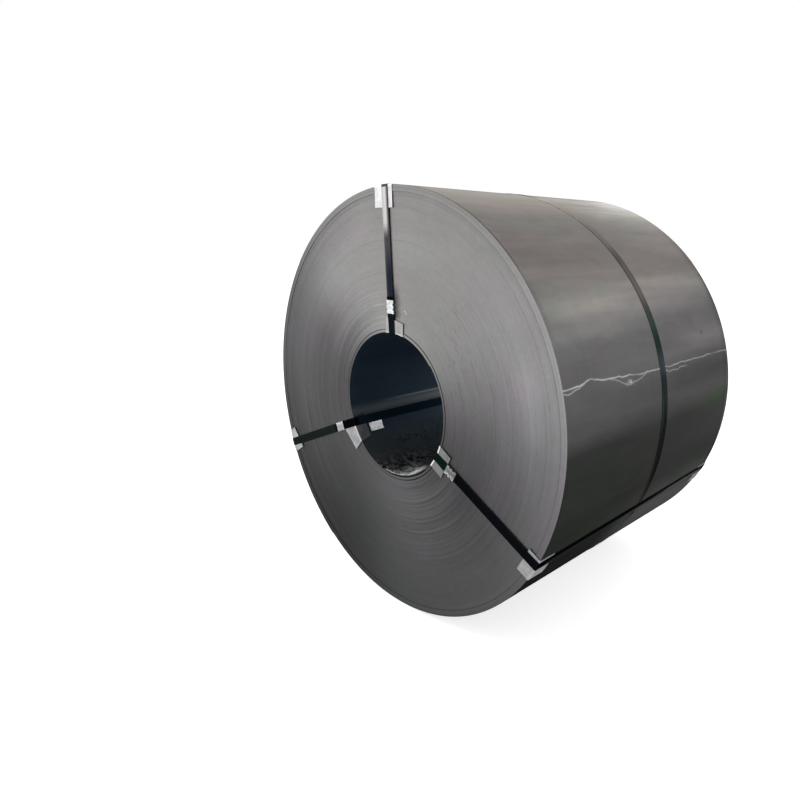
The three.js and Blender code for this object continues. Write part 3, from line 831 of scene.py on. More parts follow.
# The edges that protectors cover: radius and seat, the side of the bend that the coil's end lies
# on (1 towards the axis, -1 away from it), and the flat length of the sheet.
EDGES = {"rim": (COIL_RADIUS, outer_seat, 1, RIM_BLANK),
         "bore": (BORE_RADIUS, inner_seat, -1, BORE_BLANK)}
# Radius inside a protector's bend, and how far the corners of its end flange curl off the steel.
INSIDE_BEND = 0.00025
CORNER_CURL = 0.0011
# Painted shade on the outside flanges of the far end's protectors, and their lightness against
# those of the near one.
FAR_FLANGE_SHADE = 0.9
FAR_LEVEL = 0.4


def press(flat, seat, side, sizes):
    """Presses a sheet to the round of its seat. Its sides cross the bend on a slope. Each point
    then moves in by the fall of the circle at its place across, less towards the free edge on the
    coil's end, which stays straight, though on a slope of its own."""
    x, y, z = np.moveaxis(flat, -1, 0)
    z = z + sizes["lean"] * (side * (seat - x) - np.maximum(0, y + HALF_WIDTH + SEAT_GAP))
    drop = seat - np.sqrt(seat ** 2 - z ** 2)
    share = np.clip(side * (seat - x) / sizes["flange"], 0, 1)
    return np.stack([x - drop * (1 - share) - side * sizes["skew"] * z * share, y, z], -1)


def protector(name, sizes, blank, seat, side, end, angle, material):
    """A sheet bent over the coil's edge: a flange on its end, a bend, and a flange along its side,
    each a row of points across, pressed to the round and curling off the steel at its corners.
    One side of the flange in the bore is darkened with painted shade, and so is the flange on the
    outside."""
    face = -(HALF_WIDTH + SEAT_GAP)
    turn = np.radians(np.linspace(90, 0, 7))
    on_end = run(sizes["flange"], INSIDE_BEND, 0.004)[:-1]
    on_side = run(INSIDE_BEND, blank - sizes["flange"], 0.004)[1:]
    z = np.linspace(-PROTECTOR_WIDTH / 2, PROTECTOR_WIDTH / 2, 25)[:, None]

    def profile(sheet):
        radius = INSIDE_BEND + sheet
        x = np.concatenate([-on_end, -INSIDE_BEND + radius * np.cos(turn), np.full(len(on_side), sheet)])
        y = np.concatenate([np.full(len(on_end), -sheet), INSIDE_BEND - radius * np.sin(turn), on_side])
        return seat + side * x, face + y

    def surface(sheet):
        x, y = profile(sheet)
        flat = np.stack(np.broadcast_arrays(x[None, :], y[None, :], z), -1)
        from_bend = np.concatenate([on_end / sizes["flange"], np.zeros(len(turn) + len(on_side))])
        flat[..., 1] -= CORNER_CURL * from_bend[None, :] ** 2 * (2 * z / PROTECTOR_WIDTH) ** 2
        flat = press(flat, seat, side, sizes)
        if end > 0:
            flat = flat * [1, -1, -1]
        return lay_round(flat, lambda x, y: angle)
    travel = np.concatenate([-on_end, np.zeros(len(turn)), on_side])[None, :]
    # Painted shade on one side of the flange in the bore, and on the flange on the outside.
    painted_shade = smooth_step(-z, 0.012, 0.017) * smooth_step(travel, 0.0, 0.003) * (side < 0)
    flange_shade = sizes.get("flange_shade", 0) if end < 0 else FAR_FLANGE_SHADE
    painted_shade = painted_shade + flange_shade * smooth_step(travel, 0.002, 0.015) * (side > 0)
    facts = dict(along=travel + 0 * z, across=z + 0 * travel, painted_shade=painted_shade)
    return sheet_piece(name, surface(0.0), surface(PROTECTOR_SHEET), material, facts)


def band_protectors(name, band):
    """The four protectors under a bore band: at the rim and at the bore, on both ends. Those of
    the far end are darker."""
    for end_name, end in (("near", -1), ("far", 1)):
        for edge, (radius, seat_at, side, blank) in EDGES.items():
            sizes, place = band[edge], f"{name}_{end_name}"
            angle = band_angle(band, radius, end * HALF_WIDTH) + math.degrees(sizes["slip"] / radius)
            level = sizes["level"] * (FAR_LEVEL if end > 0 else 1.0)
            material = zinc_sheet(f"{edge}_{place}", level, sizes["bend_highlight"])
            piece = protector(f"{edge}_sheet_{place}", sizes, blank, seat_at(angle), side, end, angle,
                              material)
            stand_for(piece, f"{edge}_protector_{place}")


# ---- label ----

LABEL_LENGTH = 0.058
LABEL_WIDTH = 0.033
LABEL_SHEET = 0.0005
LABEL_DEPTH = 0.060
LABEL_ANGLE = 212
LABEL_CURL = 0.003


def bore_label():
    """A blank label on the bore's wall, one corner of it curling off."""
    seat = float(inner_seat(LABEL_ANGLE))
    depth = np.linspace(LABEL_DEPTH, LABEL_DEPTH + LABEL_LENGTH, 25)[:, None]
    z = np.linspace(-LABEL_WIDTH / 2, LABEL_WIDTH / 2, 15)[None, :]
    y = depth - HALF_WIDTH
    towards = smooth_step((depth - LABEL_DEPTH) / LABEL_LENGTH - z / LABEL_WIDTH, 0.85, 1.5)

    def surface(height):
        x = np.sqrt((seat - height) ** 2 - z ** 2) - LABEL_CURL * towards
        return lay_round(np.stack([x, y + 0 * x, z + 0 * x], -1), lambda x, y: LABEL_ANGLE)
    facts = dict(along=y + 0 * z, across=z + 0 * y)
    piece = sheet_piece("blank_label", surface(0.0), surface(LABEL_SHEET), label_paper(), facts)
    stand_for(piece, "bore_label")


# ---- finishes ----

class Nodes:
    """Places the nodes of one material or node group. Its calls give output sockets, apart from
    add, which gives the node, and feed."""

    def __init__(self, tree):
        self.tree = tree

    def add(self, kind, inputs=(), **settings):
        """A node with its settings, its inputs fed by name or in their order."""
        node = self.tree.nodes.new(kind)
        for key, value in settings.items():
            setattr(node, key, value)
        pairs = inputs.items() if isinstance(inputs, dict) else enumerate(inputs)
        for key, value in pairs:
            self.feed(value, node.inputs[key])
        return node

    def feed(self, value, socket):
        """Links another socket to this one, or sets a plain value on it."""
        if isinstance(value, bpy.types.NodeSocket):
            self.tree.links.new(value, socket)
        else:
            socket.default_value = value

    def math(self, operation, *values):
        return self.add("ShaderNodeMath", values, operation=operation).outputs[0]

    def times(self, first, *others):
        """The product of two or more values."""
        for other in others:
            first = self.math("MULTIPLY", first, other)
        return first

    def plus(self, first, second):
        return self.math("ADD", first, second)

    def less(self, value, taken):
        """A value less another one."""
        return self.math("SUBTRACT", value, taken)

    def line(self, value, slope, start):
        """A straight line: the value times a slope, plus a start."""
        return self.math("MULTIPLY_ADD", value, slope, start)

    def varied(self, noise, strength, level=1.0):
        """A level that goes up and down with a noise."""
        return self.line(self.less(noise, 0.5), strength, level)

    def length(self, x, y):
        """Distance from the middle of a plane: the root of the sum of two squares."""
        return self.math("SQRT", self.plus(self.times(x, x), self.times(y, y)))

    def rise(self, value, low, high, to_low=0.0, to_high=1.0):
        """A smooth step of the value from low to high."""
        values = {"Value": value, "From Min": low, "From Max": high, "To Min": to_low, "To Max": to_high}
        node = self.add("ShaderNodeMapRange", values, interpolation_type="SMOOTHSTEP")
        return node.outputs["Result"]

    def stretch(self, value, start, whole, fading, gone):
        """1 over a stretch of the value, with a smooth step up at its start and down at its end."""
        return self.times(self.rise(value, start, whole), self.rise(value, gone, fading))

    def bell(self, value, centre, width):
        """1 at the centre and falling off to both sides, as a Gauss curve."""
        off = self.math("DIVIDE", self.less(value, centre), width)
        return self.math("EXPONENT", self.times(off, off, -1.0))

    def spot(self):
        """A point's own place."""
        return self.add("ShaderNodeTexCoord").outputs["Object"]

    def vector(self, x, y, z):
        return self.add("ShaderNodeCombineXYZ", (x, y, z)).outputs[0]

    def parts(self, vector):
        return self.add("ShaderNodeSeparateXYZ", (vector, )).outputs

    def wrapped(self, at, turn_scale, measure, scale):
        """A point for a pattern round the coil that has no seam: on a circle round the axis, and
        as far along it as a measure says, both scaled."""
        return self.vector(self.times(at["CosTurn"], turn_scale), self.times(measure, scale),
                           self.times(at["SinTurn"], turn_scale))

    def noise(self, vector, scale, detail=3.0, roughness=0.5, distortion=0.0):
        values = {"Vector": vector, "Scale": scale, "Detail": detail, "Roughness": roughness,
                  "Distortion": distortion}
        return self.add("ShaderNodeTexNoise", values).outputs["Fac"]

    def brushed(self, across, along, scale):
        """Fine streaks that run along a sheet or a strap."""
        place = self.vector(self.times(across, 260.0), self.times(along, scale), 0.0)
        return self.noise(place, 1.0, 3.0, 0.6)

    def mix(self, share, first, second, blend="MIX"):
        node = self.add("ShaderNodeMix", data_type="RGBA", blend_type=blend)
        self.feed(share, node.inputs["Factor"])
        self.feed(first, node.inputs["A"])
        self.feed(second, node.inputs["B"])
        return node.outputs["Result"]

    def scaled(self, colour, factor):
        """A colour times a value."""
        node = self.add("ShaderNodeVectorMath", (colour, ), operation="SCALE")
        self.feed(factor, node.inputs["Scale"])
        return node.outputs[0]

    def attribute(self, name, output="Fac"):
        return self.add("ShaderNodeAttribute", attribute_name=name).outputs[output]

    def shade(self):
        """The piece's own colour at a point."""
        return self.attribute("shade", "Vector")

    def group(self, tree, **values):
        node = self.add("ShaderNodeGroup", node_tree=tree)
        for key, value in values.items():
            self.feed(value, node.inputs[key])
        return node.outputs

    def bump(self, height, strength, distance):
        values = {"Height": height, "Strength": strength, "Distance": distance}
        return self.add("ShaderNodeBump", values).outputs["Normal"]


def node_group(name, inputs, outputs):
    """A shader node group with named inputs and outputs: (name, kind, value) and (name, kind)."""
    tree = bpy.data.node_groups.new(name, "ShaderNodeTree")
    for key, kind, value in inputs:
        socket = tree.interface.new_socket(key, in_out="INPUT", socket_type=f"NodeSocket{kind}")
        socket.default_value = value
    for key, kind in outputs:
        tree.interface.new_socket(key, in_out="OUTPUT", socket_type=f"NodeSocket{kind}")
    nodes = Nodes(tree)
    return nodes, tree.nodes.new("NodeGroupInput").outputs, tree.nodes.new("NodeGroupOutput").inputs


def place_group():
    """Where a point lies on the coil: its radius, its angle in degrees, its place along the axis,
    and a point on the unit circle, so that a pattern has no seam."""
    names = ("Radius", "Angle", "Along", "CosTurn", "SinTurn")
    nodes, _, out = node_group("place_on_coil", [], [(name, "Float") for name in names])
    x, y, z = nodes.parts(nodes.spot())
    up = nodes.less(z, AXIS_HEIGHT)
    radius = nodes.length(x, up)
    nodes.feed(radius, out["Radius"])
    nodes.feed(nodes.math("DEGREES", nodes.math("ARCTAN2", up, x)), out["Angle"])
    nodes.feed(y, out["Along"])
    nodes.feed(nodes.math("DIVIDE", x, radius), out["CosTurn"])
    nodes.feed(nodes.math("DIVIDE", up, radius), out["SinTurn"])
    return nodes.tree


def tint_group():
    """Broad drifts of tint over rolled steel: from greenish to rosy, by a slow noise."""
    nodes, given, out = node_group("steel_tint", [
        ("Place", "Vector", (0, 0, 0)), ("Cool", "Color", (0.982, 1.004, 0.986, 1)),
        ("Warm", "Color", (1.022, 0.984, 1.002, 1)), ("Scale", "Float", 1.0)], [("Tint", "Color")])
    drift = nodes.noise(given["Place"], given["Scale"], 2.0, 0.5)
    share = nodes.rise(drift, 0.36, 0.64)
    nodes.feed(nodes.mix(share, given["Cool"], given["Warm"]), out["Tint"])
    return nodes.tree


PLACE = place_group()
TINT = tint_group()


def tinted_shade(nodes, place, **values):
    """The piece's own colour under broad drifts of tint."""
    tint = nodes.group(TINT, Place=place, **values)["Tint"]
    return nodes.mix(1.0, nodes.shade(), tint, "MULTIPLY")


def finish(name, paint):
    """A material whose Principled shader is fed by paint, which returns its sockets' values."""
    material = bpy.data.materials.new(name)
    material.use_nodes = True
    shader = material.node_tree.nodes["Principled BSDF"]
    nodes = Nodes(material.node_tree)
    for key, value in paint(nodes).items():
        nodes.feed(value, shader.inputs[key])
    return material


# Lines in the last wraps: how far inside the rim, how wide, and how much lighter than the steel.
RIM_LINES = ((0.0245, 0.0022, -0.13), (0.0315, 0.0016, -0.09), (0.0175, 0.0030, 0.07),
             (0.0110, 0.0014, -0.11))
CHIP_PLACE = (0.075, AXIS_HEIGHT + 0.326)
CHIP_RADIUS = 0.006
CHIP_COLOUR = (0.75, 0.75, 0.72, 1)
# Places along the axis between which a mark of the near end sets in.
NEAR_END_ONLY = (-0.5, -0.51)


def steel_end():
    """The cut edges of the strip: fine and long streaks round the axis, a tone that changes every
    turn or two, short dark strokes, most of them at the upper right, grain and clouds, lines in the
    last wraps, drifts of tint, and a chip and a dark patch on the near end. Its own shade is the
    end's painted light and shade, and its ring lines hold painted shade in the gaps."""
    def paint(nodes):
        at, spot, show = nodes.group(PLACE), nodes.spot(), nodes.attribute("ring_show")

        def streaks(turn_scale, radius_scale, detail):
            place = nodes.wrapped(at, turn_scale, at["Radius"], radius_scale)
            return nodes.noise(place, 1.0, detail, 0.6)
        fine = streaks(1.7, 130.0, 3.0)
        fine_tone = nodes.varied(fine, nodes.line(show, 0.34, 0.05))
        long_tone = nodes.varied(streaks(0.45, 55.0, 2.0), nodes.line(show, 0.95, 0.04))
        turn_tone = nodes.varied(streaks(0.35, 260.0, 2.0), nodes.times(show, 1.1))
        # Ring lines: dark joints between groups, and painted shade in the gaps beside the wraps.
        line_tone = nodes.line(nodes.attribute("ring_line"), -0.18, 1.0)
        tone = nodes.times(nodes.times(line_tone, turn_tone), nodes.times(fine_tone, long_tone))
        cloud = nodes.less(nodes.noise(spot, 8.0, 3.0, 0.6, 0.8), 0.5)
        grain = nodes.line(cloud, 1.1, nodes.less(nodes.noise(spot, 75.0, 4.0, 0.65), 0.5))
        stroked = nodes.times(nodes.bell(at["Angle"], 38.0, 18.0), nodes.bell(at["Radius"], 0.40, 0.08))
        strokes = nodes.times(nodes.rise(streaks(11.0, 120.0, 3.0), 0.50, 0.70),
                              nodes.line(stroked, 0.13, 0.05))
        tone = nodes.times(tone, rim_lines(nodes, at), nodes.line(grain, 0.18, 1.0),
                           nodes.less(1.0, strokes), dark_patch(nodes, spot))
        shade = tinted_shade(nodes, nodes.wrapped(at, 1.0, at["Radius"], 2.4), Scale=2.2)
        chip = nodes.times(chipped(nodes, spot), 0.26)
        return {"Base Color": nodes.mix(chip, nodes.scaled(shade, tone), CHIP_COLOUR),
                "Metallic": 1.0,
                "Roughness": nodes.line(fine, 0.15, 0.42),
                "Normal": nodes.bump(fine, 0.06, 0.002)}
    return finish("steel_cut_edges", paint)


def rim_lines(nodes, at):
    """Tone of the last wraps at the rim: three thin dark lines and a paler one inside them, all
    but gone at the lower left, a paler border on the right that is a painted highlight, and a dark
    last wrap at the lower left."""
    radius = at["Radius"]
    lines = 0.0
    for inside, width, strength in RIM_LINES:
        lines = nodes.line(nodes.bell(radius, COIL_RADIUS - inside, width), strength, lines)
    towards = nodes.plus(nodes.times(at["CosTurn"], 0.8), nodes.times(at["SinTurn"], 0.6))
    lines = nodes.times(lines, nodes.rise(towards, -0.95, -0.35, 0.15, 1.0))
    outline = nodes.times(nodes.rise(radius, COIL_RADIUS - 0.010, COIL_RADIUS - 0.003),
                          nodes.rise(towards, -0.2, -0.7))
    # Painted highlight: a paler border on the right.
    border = nodes.times(nodes.rise(radius, COIL_RADIUS - 0.022, COIL_RADIUS - 0.017),
                         nodes.rise(at["CosTurn"], 0.5, 0.9),
                         nodes.bell(radius, COIL_RADIUS - 0.009, 0.011))
    lines = nodes.line(border, 0.10, nodes.line(outline, -0.32, lines))
    return nodes.plus(lines, 1.0)


def chipped(nodes, spot):
    """A small pale chip beside the top band on the near end: part of a ring 12 mm across."""
    x, y, z = nodes.parts(spot)
    aside, up = nodes.less(x, CHIP_PLACE[0]), nodes.less(z, CHIP_PLACE[1])
    ring = nodes.bell(nodes.length(aside, up), CHIP_RADIUS, 0.0022)
    kept = nodes.rise(nodes.plus(aside, nodes.times(up, 0.6)), -0.005, 0.001)
    return nodes.times(ring, kept, nodes.rise(y, *NEAR_END_ONLY))


def dark_patch(nodes, spot):
    """Tone of a dark soft patch on the near end, right of the top band from its seal down. Its edge
    lies on a slope and a noise spreads it."""
    x, y, z = nodes.parts(spot)
    up = nodes.less(z, AXIS_HEIGHT)
    aside = nodes.less(x, nodes.line(up, -0.042, 0.0355))
    spread = nodes.line(nodes.noise(spot, 110.0, 3.0, 0.6), 0.030, 0.012)
    share = nodes.times(nodes.rise(nodes.math("DIVIDE", aside, spread), 1.5, 0.4),
                        nodes.rise(x, -0.01, 0.01))
    share = nodes.times(share, nodes.stretch(up, 0.290, 0.315, 0.375, 0.430),
                        nodes.rise(y, *NEAR_END_ONLY))
    return nodes.line(share, -0.6, 1.0)


REFLECTED_LINE_COLOUR = (0.60, 0.60, 0.60, 1)
# Where a dark speck lies: its place along the axis and its angle.
SPECK_PLACE = (0.339, 18.6)


def steel_outside():
    """Rolled steel: soft bands and streaks along the axis, stronger on the far shoulder as painted
    glare, clouds, hairlines round it, a dark speck, a dark brink at the top of the near end, and a
    thin painted reflection of a bright line. Its own shade is painted reflection and shade.
    Underneath it isn't metallic."""
    def paint(nodes):
        at = nodes.group(PLACE)

        def patterned(turn_scale, along_scale, detail, roughness, distortion=0.0):
            place = nodes.wrapped(at, turn_scale, at["Along"], along_scale)
            return nodes.noise(place, 1.0, detail, roughness, distortion)
        bands = patterned(6.0, 0.8, 3.0, 0.55)
        hairlines = patterned(1.2, 60.0, 4.0, 0.6)
        streaks = patterned(17.0, 2.2, 4.0, 0.6, 0.6)
        clouds = patterned(9.0, 4.5, 3.0, 0.6, 1.2)
        # Painted glare: the streaks are stronger on the far shoulder.
        glare = nodes.times(nodes.bell(at["Angle"], 71.0, 9.0), nodes.rise(at["Along"], 0.0, 0.3))
        speck = nodes.times(nodes.bell(at["Along"], SPECK_PLACE[0], 0.007),
                            nodes.bell(at["Angle"], SPECK_PLACE[1], 0.45))
        brink = nodes.times(nodes.rise(at["SinTurn"], 0.5, 0.75),
                            nodes.rise(at["Along"], 0.011 - HALF_WIDTH, 0.003 - HALF_WIDTH))
        tone = nodes.varied(streaks, nodes.line(glare, 0.9, 0.42), nodes.varied(bands, 0.12))
        tone = nodes.times(nodes.varied(clouds, 0.30, tone), nodes.varied(hairlines, 0.12),
                           nodes.line(speck, -0.55, 1.0), nodes.line(brink, -0.45, 1.0))
        shade = tinted_shade(nodes, nodes.wrapped(at, 5.0, at["Along"], 2.6),
                             Cool=(0.97, 1.006, 0.962, 1), Warm=(1.022, 0.987, 0.988, 1))
        return {"Base Color": nodes.mix(reflected_line(nodes, at), nodes.scaled(shade, tone), REFLECTED_LINE_COLOUR),
                "Metallic": nodes.rise(at["SinTurn"], -0.36, -0.06),
                "Specular IOR Level": 0.0, "Specular Tint": (0.55, 0.55, 0.55, 1),
                "Roughness": nodes.line(bands, 0.16, 0.26),
                "Normal": nodes.bump(hairlines, 0.08, 0.002)}
    return finish("steel_rolled", paint)


# Width of the painted reflected line in degrees, and its side paths by depth from the near end:
# where each starts and stops, its middle, how wide and how deep it sags, and how plain it is.
REFLECTED_LINE_WIDTH = 0.17
REFLECTED_LINE_PATHS = ((-0.04, 0.13, 0.03, 0.05, 0.9, 0.4), (0.20, 0.54, 0.335, 0.070, 2.1, 0.30),
               (0.53, 0.725, 0.66, 0.30, 1.25, 0.28))


def reflected_line(nodes, at):
    """A thin pale painted reflection of a bright line that wanders along the outside: a hump near
    its start, and side paths that leave it downwards, one at its start, one lower down with a pale
    dab at its lowest, and one towards the far end. How much of it there is at a point."""
    angle = at["Angle"]
    depth = nodes.plus(at["Along"], HALF_WIDTH)
    line = nodes.line(nodes.bell(depth, 0.135, 0.035), 0.8, 13.2)
    line = nodes.less(line, nodes.rise(depth, 0.15, 0.48, 0.0, 1.15))
    wander = nodes.noise(nodes.vector(0.0, depth, 0.0), 14.0, 4.0, 0.62)
    line = nodes.varied(wander, 1.5, line)
    uneven = nodes.noise(nodes.vector(3.0, depth, 1.0), 9.0, 2.0, 0.5)
    strength = nodes.times(nodes.rise(uneven, 0.3, 0.6, 0.25, 0.8), nodes.rise(depth, 0.15, 0.75, 1.0, 0.6))
    whole = nodes.times(nodes.bell(angle, line, REFLECTED_LINE_WIDTH), nodes.times(strength, 0.95))
    jagged = nodes.noise(nodes.vector(1.0, depth, 4.0), 26.0, 3.0, 0.6)
    for start, stop, middle, width, drop, share in REFLECTED_LINE_PATHS:
        sag = nodes.times(nodes.bell(depth, middle, width), nodes.times(nodes.line(jagged, 1.4, 0.3), drop))
        there = nodes.stretch(depth, start, start + 0.03, stop - 0.04, stop)
        path = nodes.times(nodes.bell(angle, nodes.less(line, sag), REFLECTED_LINE_WIDTH),
                           nodes.times(there, share))
        whole = nodes.math("MAXIMUM", whole, path)
    dab = nodes.times(nodes.bell(depth, 0.335, 0.020), nodes.bell(angle, nodes.less(line, 1.7), 0.55))
    ragged = nodes.noise(nodes.vector(depth, nodes.times(angle, 0.02), 0.0), 90.0)
    return nodes.math("MAXIMUM", whole, nodes.times(dab, nodes.rise(ragged, 0.4, 0.6), 0.7))


def sunk_wrap(nodes, depth):
    """Heading in degrees at which the innermost wrap's sunk edge crosses a depth on the wall: 263
    at the mouth, 285 at 30 mm in, and slowly less from there."""
    past = nodes.math("MAXIMUM", nodes.less(depth, 0.03), 0.0)
    fade = nodes.math("EXPONENT", nodes.math("DIVIDE", depth, -0.012))
    return nodes.line(fade, -24.0, nodes.line(past, -75.0, 287.0))


def wall_reflection_and_scratches(nodes, turn, depth, spot):
    """Coats of paint on the bore's wall, each a share and a colour, in their order: a paler band
    above the left strap with a bright edge, both a painted reflection, and dark scratches under
    the strap."""
    # Painted reflection: a paler band above the left strap and its bright edge.
    band = nodes.times(nodes.bell(turn, 196.5, 4.0), nodes.rise(depth, 0.0, 0.5, 0.3, 1.0))
    edge = nodes.times(nodes.bell(turn, 192.0, 0.8), nodes.rise(depth, 0.12, 0.35))
    scratched = nodes.times(nodes.bell(turn, 232.0, 9.0), nodes.rise(depth, 0.06, 0.14))
    scratches = nodes.rise(nodes.noise(spot, 46.0, 5.0, 0.7, 2.0), 0.52, 0.60)
    return [(nodes.times(band, 0.85), (0.38, 0.40, 0.40, 1)),
            (nodes.times(edge, 0.7), (0.60, 0.62, 0.60, 1)),
            (nodes.times(scratched, scratches, 0.75), (0.012, 0.014, 0.022, 1))]


def mouth_dirt_and_painted_light(nodes, turn, depth, spot):
    """Coats of paint at the bore's mouth, in their order: dust, a dusty lip with a bright line of
    painted highlight, clumps of dirt, the ledge of the sunk wrap and the black gap over it, a
    painted shadow. Also how bright the line is, and how pale the dust and the line are together."""
    grime = nodes.noise(spot, 58.0, 5.0, 0.7)
    around = nodes.times(nodes.bell(turn, 256.0, 14.0), nodes.rise(depth, 0.34, 0.16))
    below = nodes.less(turn, sunk_wrap(nodes, depth))
    fade = nodes.math("EXPONENT", nodes.math("DIVIDE", depth, -0.018))
    aside = nodes.line(fade, 14.0, nodes.plus(below, 6.0))
    reach = nodes.stretch(depth, 0.002, 0.012, 0.085, 0.165)
    dusty = nodes.times(nodes.stretch(aside, -19.0, -4.0, 1.5, 4.0), reach, nodes.rise(grime, 0.64, 0.44))
    # Painted highlight: a bright line along the lip.
    mouth_highlight = nodes.times(nodes.bell(aside, 0.0, 3.0), reach, nodes.rise(grime, 0.74, 0.50))
    clumps = nodes.times(around, nodes.rise(grime, 0.48, 0.53))
    ledge = nodes.times(nodes.rise(below, 0.5, 2.5), nodes.rise(turn, 262.0, 270.0))
    # Painted shadow: the black gap over the sunk wrap.
    gap_shadow = nodes.times(nodes.bell(below, 1.0, 4.0), nodes.stretch(depth, 0.003, 0.008, 0.11, 0.18))
    coats = [(nodes.times(around, 0.5), (0.22, 0.22, 0.215, 1)),
             (nodes.times(dusty, 0.9), (0.50, 0.50, 0.49, 1)), (mouth_highlight, (1.0, 1.0, 0.98, 1)),
             (clumps, (0.005, 0.005, 0.006, 1)), (ledge, (0.17, 0.17, 0.175, 1)),
             (gap_shadow, (0.003, 0.003, 0.004, 1))]
    return coats, mouth_highlight, nodes.math("MAXIMUM", dusty, mouth_highlight)


def steel_bore():
    """The wall of the bore: dark steel, its darkness painted shade of the bore, with streaks along it,
    paler low down as painted light and paler deeper in, under its marks and reflections and the
    dirt and painted light at its mouth, whose bright line glows."""
    def paint(nodes):
        at, spot = nodes.group(PLACE), nodes.spot()
        turn = nodes.math("MODULO", nodes.plus(at["Angle"], 360.0), 360.0)
        depth = nodes.plus(at["Along"], HALF_WIDTH)
        lengthwise = nodes.vector(nodes.times(at["CosTurn"], 5.0), at["Along"],
                                  nodes.times(at["SinTurn"], 5.0))
        streaks = nodes.noise(lengthwise, 2.0, 4.0, 0.6)
        # The wall's dark colours are painted shade of the bore, paler low down as painted light.
        high = nodes.mix(streaks, (0.018, 0.042, 0.070, 1), (0.038, 0.060, 0.086, 1))
        low = nodes.mix(streaks, (0.036, 0.052, 0.055, 1), (0.070, 0.082, 0.084, 1))
        base = nodes.mix(nodes.rise(turn, 203.0, 232.0), high, low)
        base = nodes.scaled(base, nodes.rise(depth, 0.02, 0.25, 1.0, 1.7))
        coats, mouth_highlight, pale = mouth_dirt_and_painted_light(nodes, turn, depth, spot)
        for share, colour in wall_reflection_and_scratches(nodes, turn, depth, spot) + coats:
            base = nodes.mix(share, base, colour)
        return {"Base Color": base,
                "Metallic": nodes.line(pale, -0.6, 0.6),
                "Roughness": nodes.line(streaks, 0.2, 0.35),
                # The bright line at the mouth glows: painted highlight.
                "Emission Color": nodes.scaled((0.11, 0.11, 0.105), mouth_highlight),
                "Emission Strength": 1.0}
    return finish("steel_bore_wall", paint)


def strap_steel(name):
    """Painted strapping: dark, half gloss, with streaks along it and bare metal at its edges.
    The shade of the paint is the piece's own, with its painted light. Where it carries painted
    light the paint isn't metallic."""
    def paint(nodes):
        across = nodes.attribute("across")
        streaks = nodes.brushed(across, nodes.attribute("along"), 5.0)
        edge = nodes.rise(nodes.math("ABSOLUTE", across), 0.0145, 0.0158)
        painted = nodes.less(1.0, nodes.attribute("matte_painted_light"))
        worn = nodes.times(edge, painted, nodes.rise(streaks, 0.45, 0.65))
        dark = nodes.scaled(nodes.shade(), nodes.varied(streaks, 0.8))
        return {"Base Color": nodes.mix(nodes.times(worn, 0.35), dark, (0.05, 0.05, 0.05, 1)),
                "Metallic": painted,
                "Specular IOR Level": 0.0, "Specular Tint": (0.06, 0.06, 0.06, 1),
                "Roughness": nodes.line(streaks, 0.2, 0.4)}
    return finish(f"strapping_{name}", paint)


def zinc_sheet(name, level, bend_highlight=0.0, glint=0.0):
    """Galvanised sheet: mottled, with a faint spangle, streaks along its flanges, a bright line of
    painted highlight on its bend, broken painted glints beside painted shade in the hollow where a
    seal is crimped, and the piece's painted shade."""
    def paint(nodes):
        spot, across, along = nodes.spot(), nodes.attribute("across"), nodes.attribute("along")
        spangle = nodes.add("ShaderNodeTexVoronoi", {"Vector": spot, "Scale": 170.0}).outputs["Color"]
        lines = nodes.brushed(across, along, 14.0)
        # Painted highlight: a bright line on the bend.
        bend = nodes.rise(nodes.math("ABSOLUTE", along), 0.006, 0.002)
        broken = nodes.rise(nodes.noise(spot, 230.0, 2.0, 0.6), 0.45, 0.58)
        # Painted glints beside the crimp, and painted shade in its hollow.
        lit = nodes.times(nodes.bell(across, -0.0140, 0.0040), broken)
        lit = nodes.line(nodes.bell(across, 0.0020, 0.0050), -0.16, lit)
        tone = nodes.varied(lines, 0.6, nodes.varied(nodes.noise(spot, 38.0, 3.0, 0.55), 1.1))
        tone = nodes.line(lit, glint, nodes.line(bend, bend_highlight, tone))
        grey = nodes.scaled((level, level * 1.01, level * 1.015), tone)
        # Painted shade that the piece carries.
        painted_shade = nodes.times(nodes.attribute("painted_shade"), 0.9)
        return {"Base Color": nodes.mix(painted_shade, nodes.mix(0.05, grey, spangle), (0.02, 0.03, 0.05, 1)),
                "Metallic": 0.85,
                "Roughness": nodes.line(lines, 0.2, 0.35)}
    return finish(f"zinc_{name}", paint)


def label_paper():
    """Blank label stock, a little dirty, with a painted glow that lightens it."""
    def paint(nodes):
        mottle = nodes.rise(nodes.noise(nodes.spot(), 70.0, 4.0, 0.6), 0.35, 0.65)
        return {"Base Color": nodes.mix(mottle, (0.72, 0.73, 0.74, 1), (1.0, 1.0, 1.0, 1)),
                "Metallic": 0.75, "Roughness": 0.7,
                # A painted glow lightens the label.
                "Emission Color": nodes.mix(mottle, (0.10, 0.10, 0.10, 1), (0.22, 0.22, 0.23, 1)),
                "Emission Strength": 1.0}
    return finish("label_stock", paint)


# ---- stage ----

CAMERA_PLACE = (1.6659, -1.8363, 1.2869)
CAMERA_PITCH = 10.545
CAMERA_TURN = 43.69
CAMERA_LENS = 28.116
CAMERA_SHIFT = (-0.0987, -0.0495)
SENSOR_WIDTH = 36
CAMERA_REACH = 500


def camera():
    """A camera with no roll, looking down a little at the coil."""
    data = bpy.data.cameras.new("camera")
    data.lens = CAMERA_LENS
    data.sensor_width = SENSOR_WIDTH
    data.shift_x, data.shift_y = CAMERA_SHIFT
    data.clip_end = CAMERA_REACH
    eye = bpy.data.objects.new("camera", data)
    eye.location = CAMERA_PLACE
    eye.rotation_euler = (math.radians(90 - CAMERA_PITCH), 0, math.radians(CAMERA_TURN))
    bpy.context.scene.collection.objects.link(eye)
    bpy.context.scene.camera = eye


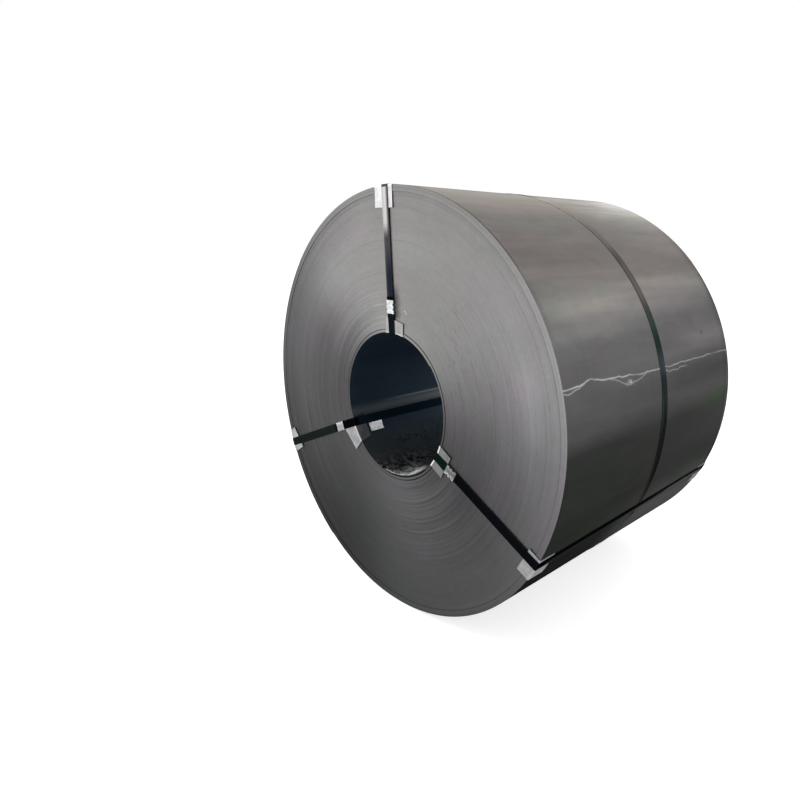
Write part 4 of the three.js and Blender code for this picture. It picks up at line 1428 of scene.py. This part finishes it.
def seen_directly(nodes):
    """1 for rays from the camera and for what gloss and glass show, 0 for diffuse light."""
    ray = nodes.add("ShaderNodeLightPath").outputs
    return nodes.math("MAXIMUM", ray["Is Camera Ray"],
                      nodes.math("MAXIMUM", ray["Is Glossy Ray"], ray["Is Transmission Ray"]))


def white_room(ambient):
    """The world: white where it is seen, and a weaker light on what is lit by it."""
    world = bpy.data.worlds.new("white_room")
    world.use_nodes = True
    nodes = Nodes(world.node_tree)
    background = world.node_tree.nodes["Background"]
    background.inputs["Color"].default_value = (1, 1, 1, 1)
    strength = nodes.math("MAXIMUM", seen_directly(nodes), ambient)
    nodes.feed(strength, background.inputs["Strength"])
    bpy.context.scene.world = world


def pale_floor(size, glow):
    """A wide floor, white where it is lit, that keeps the coil's shadow."""
    corner = size / 2
    mesh = bpy.data.meshes.new("floor")
    mesh.from_pydata([(-corner, -corner, 0), (corner, -corner, 0), (corner, corner, 0),
                      (-corner, corner, 0)], [], [(0, 1, 2, 3)])
    floor = bpy.data.objects.new("floor", mesh)
    bpy.context.scene.collection.objects.link(floor)

    def paint(nodes):
        return {"Base Color": (0.8, 0.8, 0.8, 1), "Roughness": 1.0, "Specular IOR Level": 0.0,
                "Emission Color": (1, 1, 1, 1),
                "Emission Strength": nodes.times(seen_directly(nodes), glow)}
    mesh.materials.append(finish("pale_floor", paint))


def softbox(name, direction, distance, size, brightness):
    """A square lamp facing the coil's middle from a direction. Its brightness is what it shows in
    a mirror, where the white room shows 1."""
    data = bpy.data.lights.new(name, "AREA")
    data.shape = "SQUARE"
    data.size = size
    data.energy = brightness * math.pi * size ** 2
    lamp = bpy.data.objects.new(name, data)
    way = Vector(direction).normalized()
    lamp.location = Vector((0, 0, AXIS_HEIGHT)) + way * distance
    lamp.rotation_euler = way.to_track_quat("Z", "Y").to_euler()
    bpy.context.scene.collection.objects.link(lamp)


# ---- assembly ----

wound_coil()
belly_strap()
belly_seal()
for band_name, band_sizes in BANDS.items():
    bore_strap(band_name, band_sizes)
    bore_seal(band_name, band_sizes)
    band_protectors(band_name, band_sizes)
bore_label()

camera()
white_room(ambient=0.7)
pale_floor(size=80, glow=0.75)
softbox("key", (-0.75, -0.6, 0.45), distance=4.5, size=3.2, brightness=1.9)
softbox("window", (0.38, 0.8, 0.46), distance=4.5, size=1.6, brightness=1.1)
bpy.context.scene.view_settings.view_transform = "Standard"
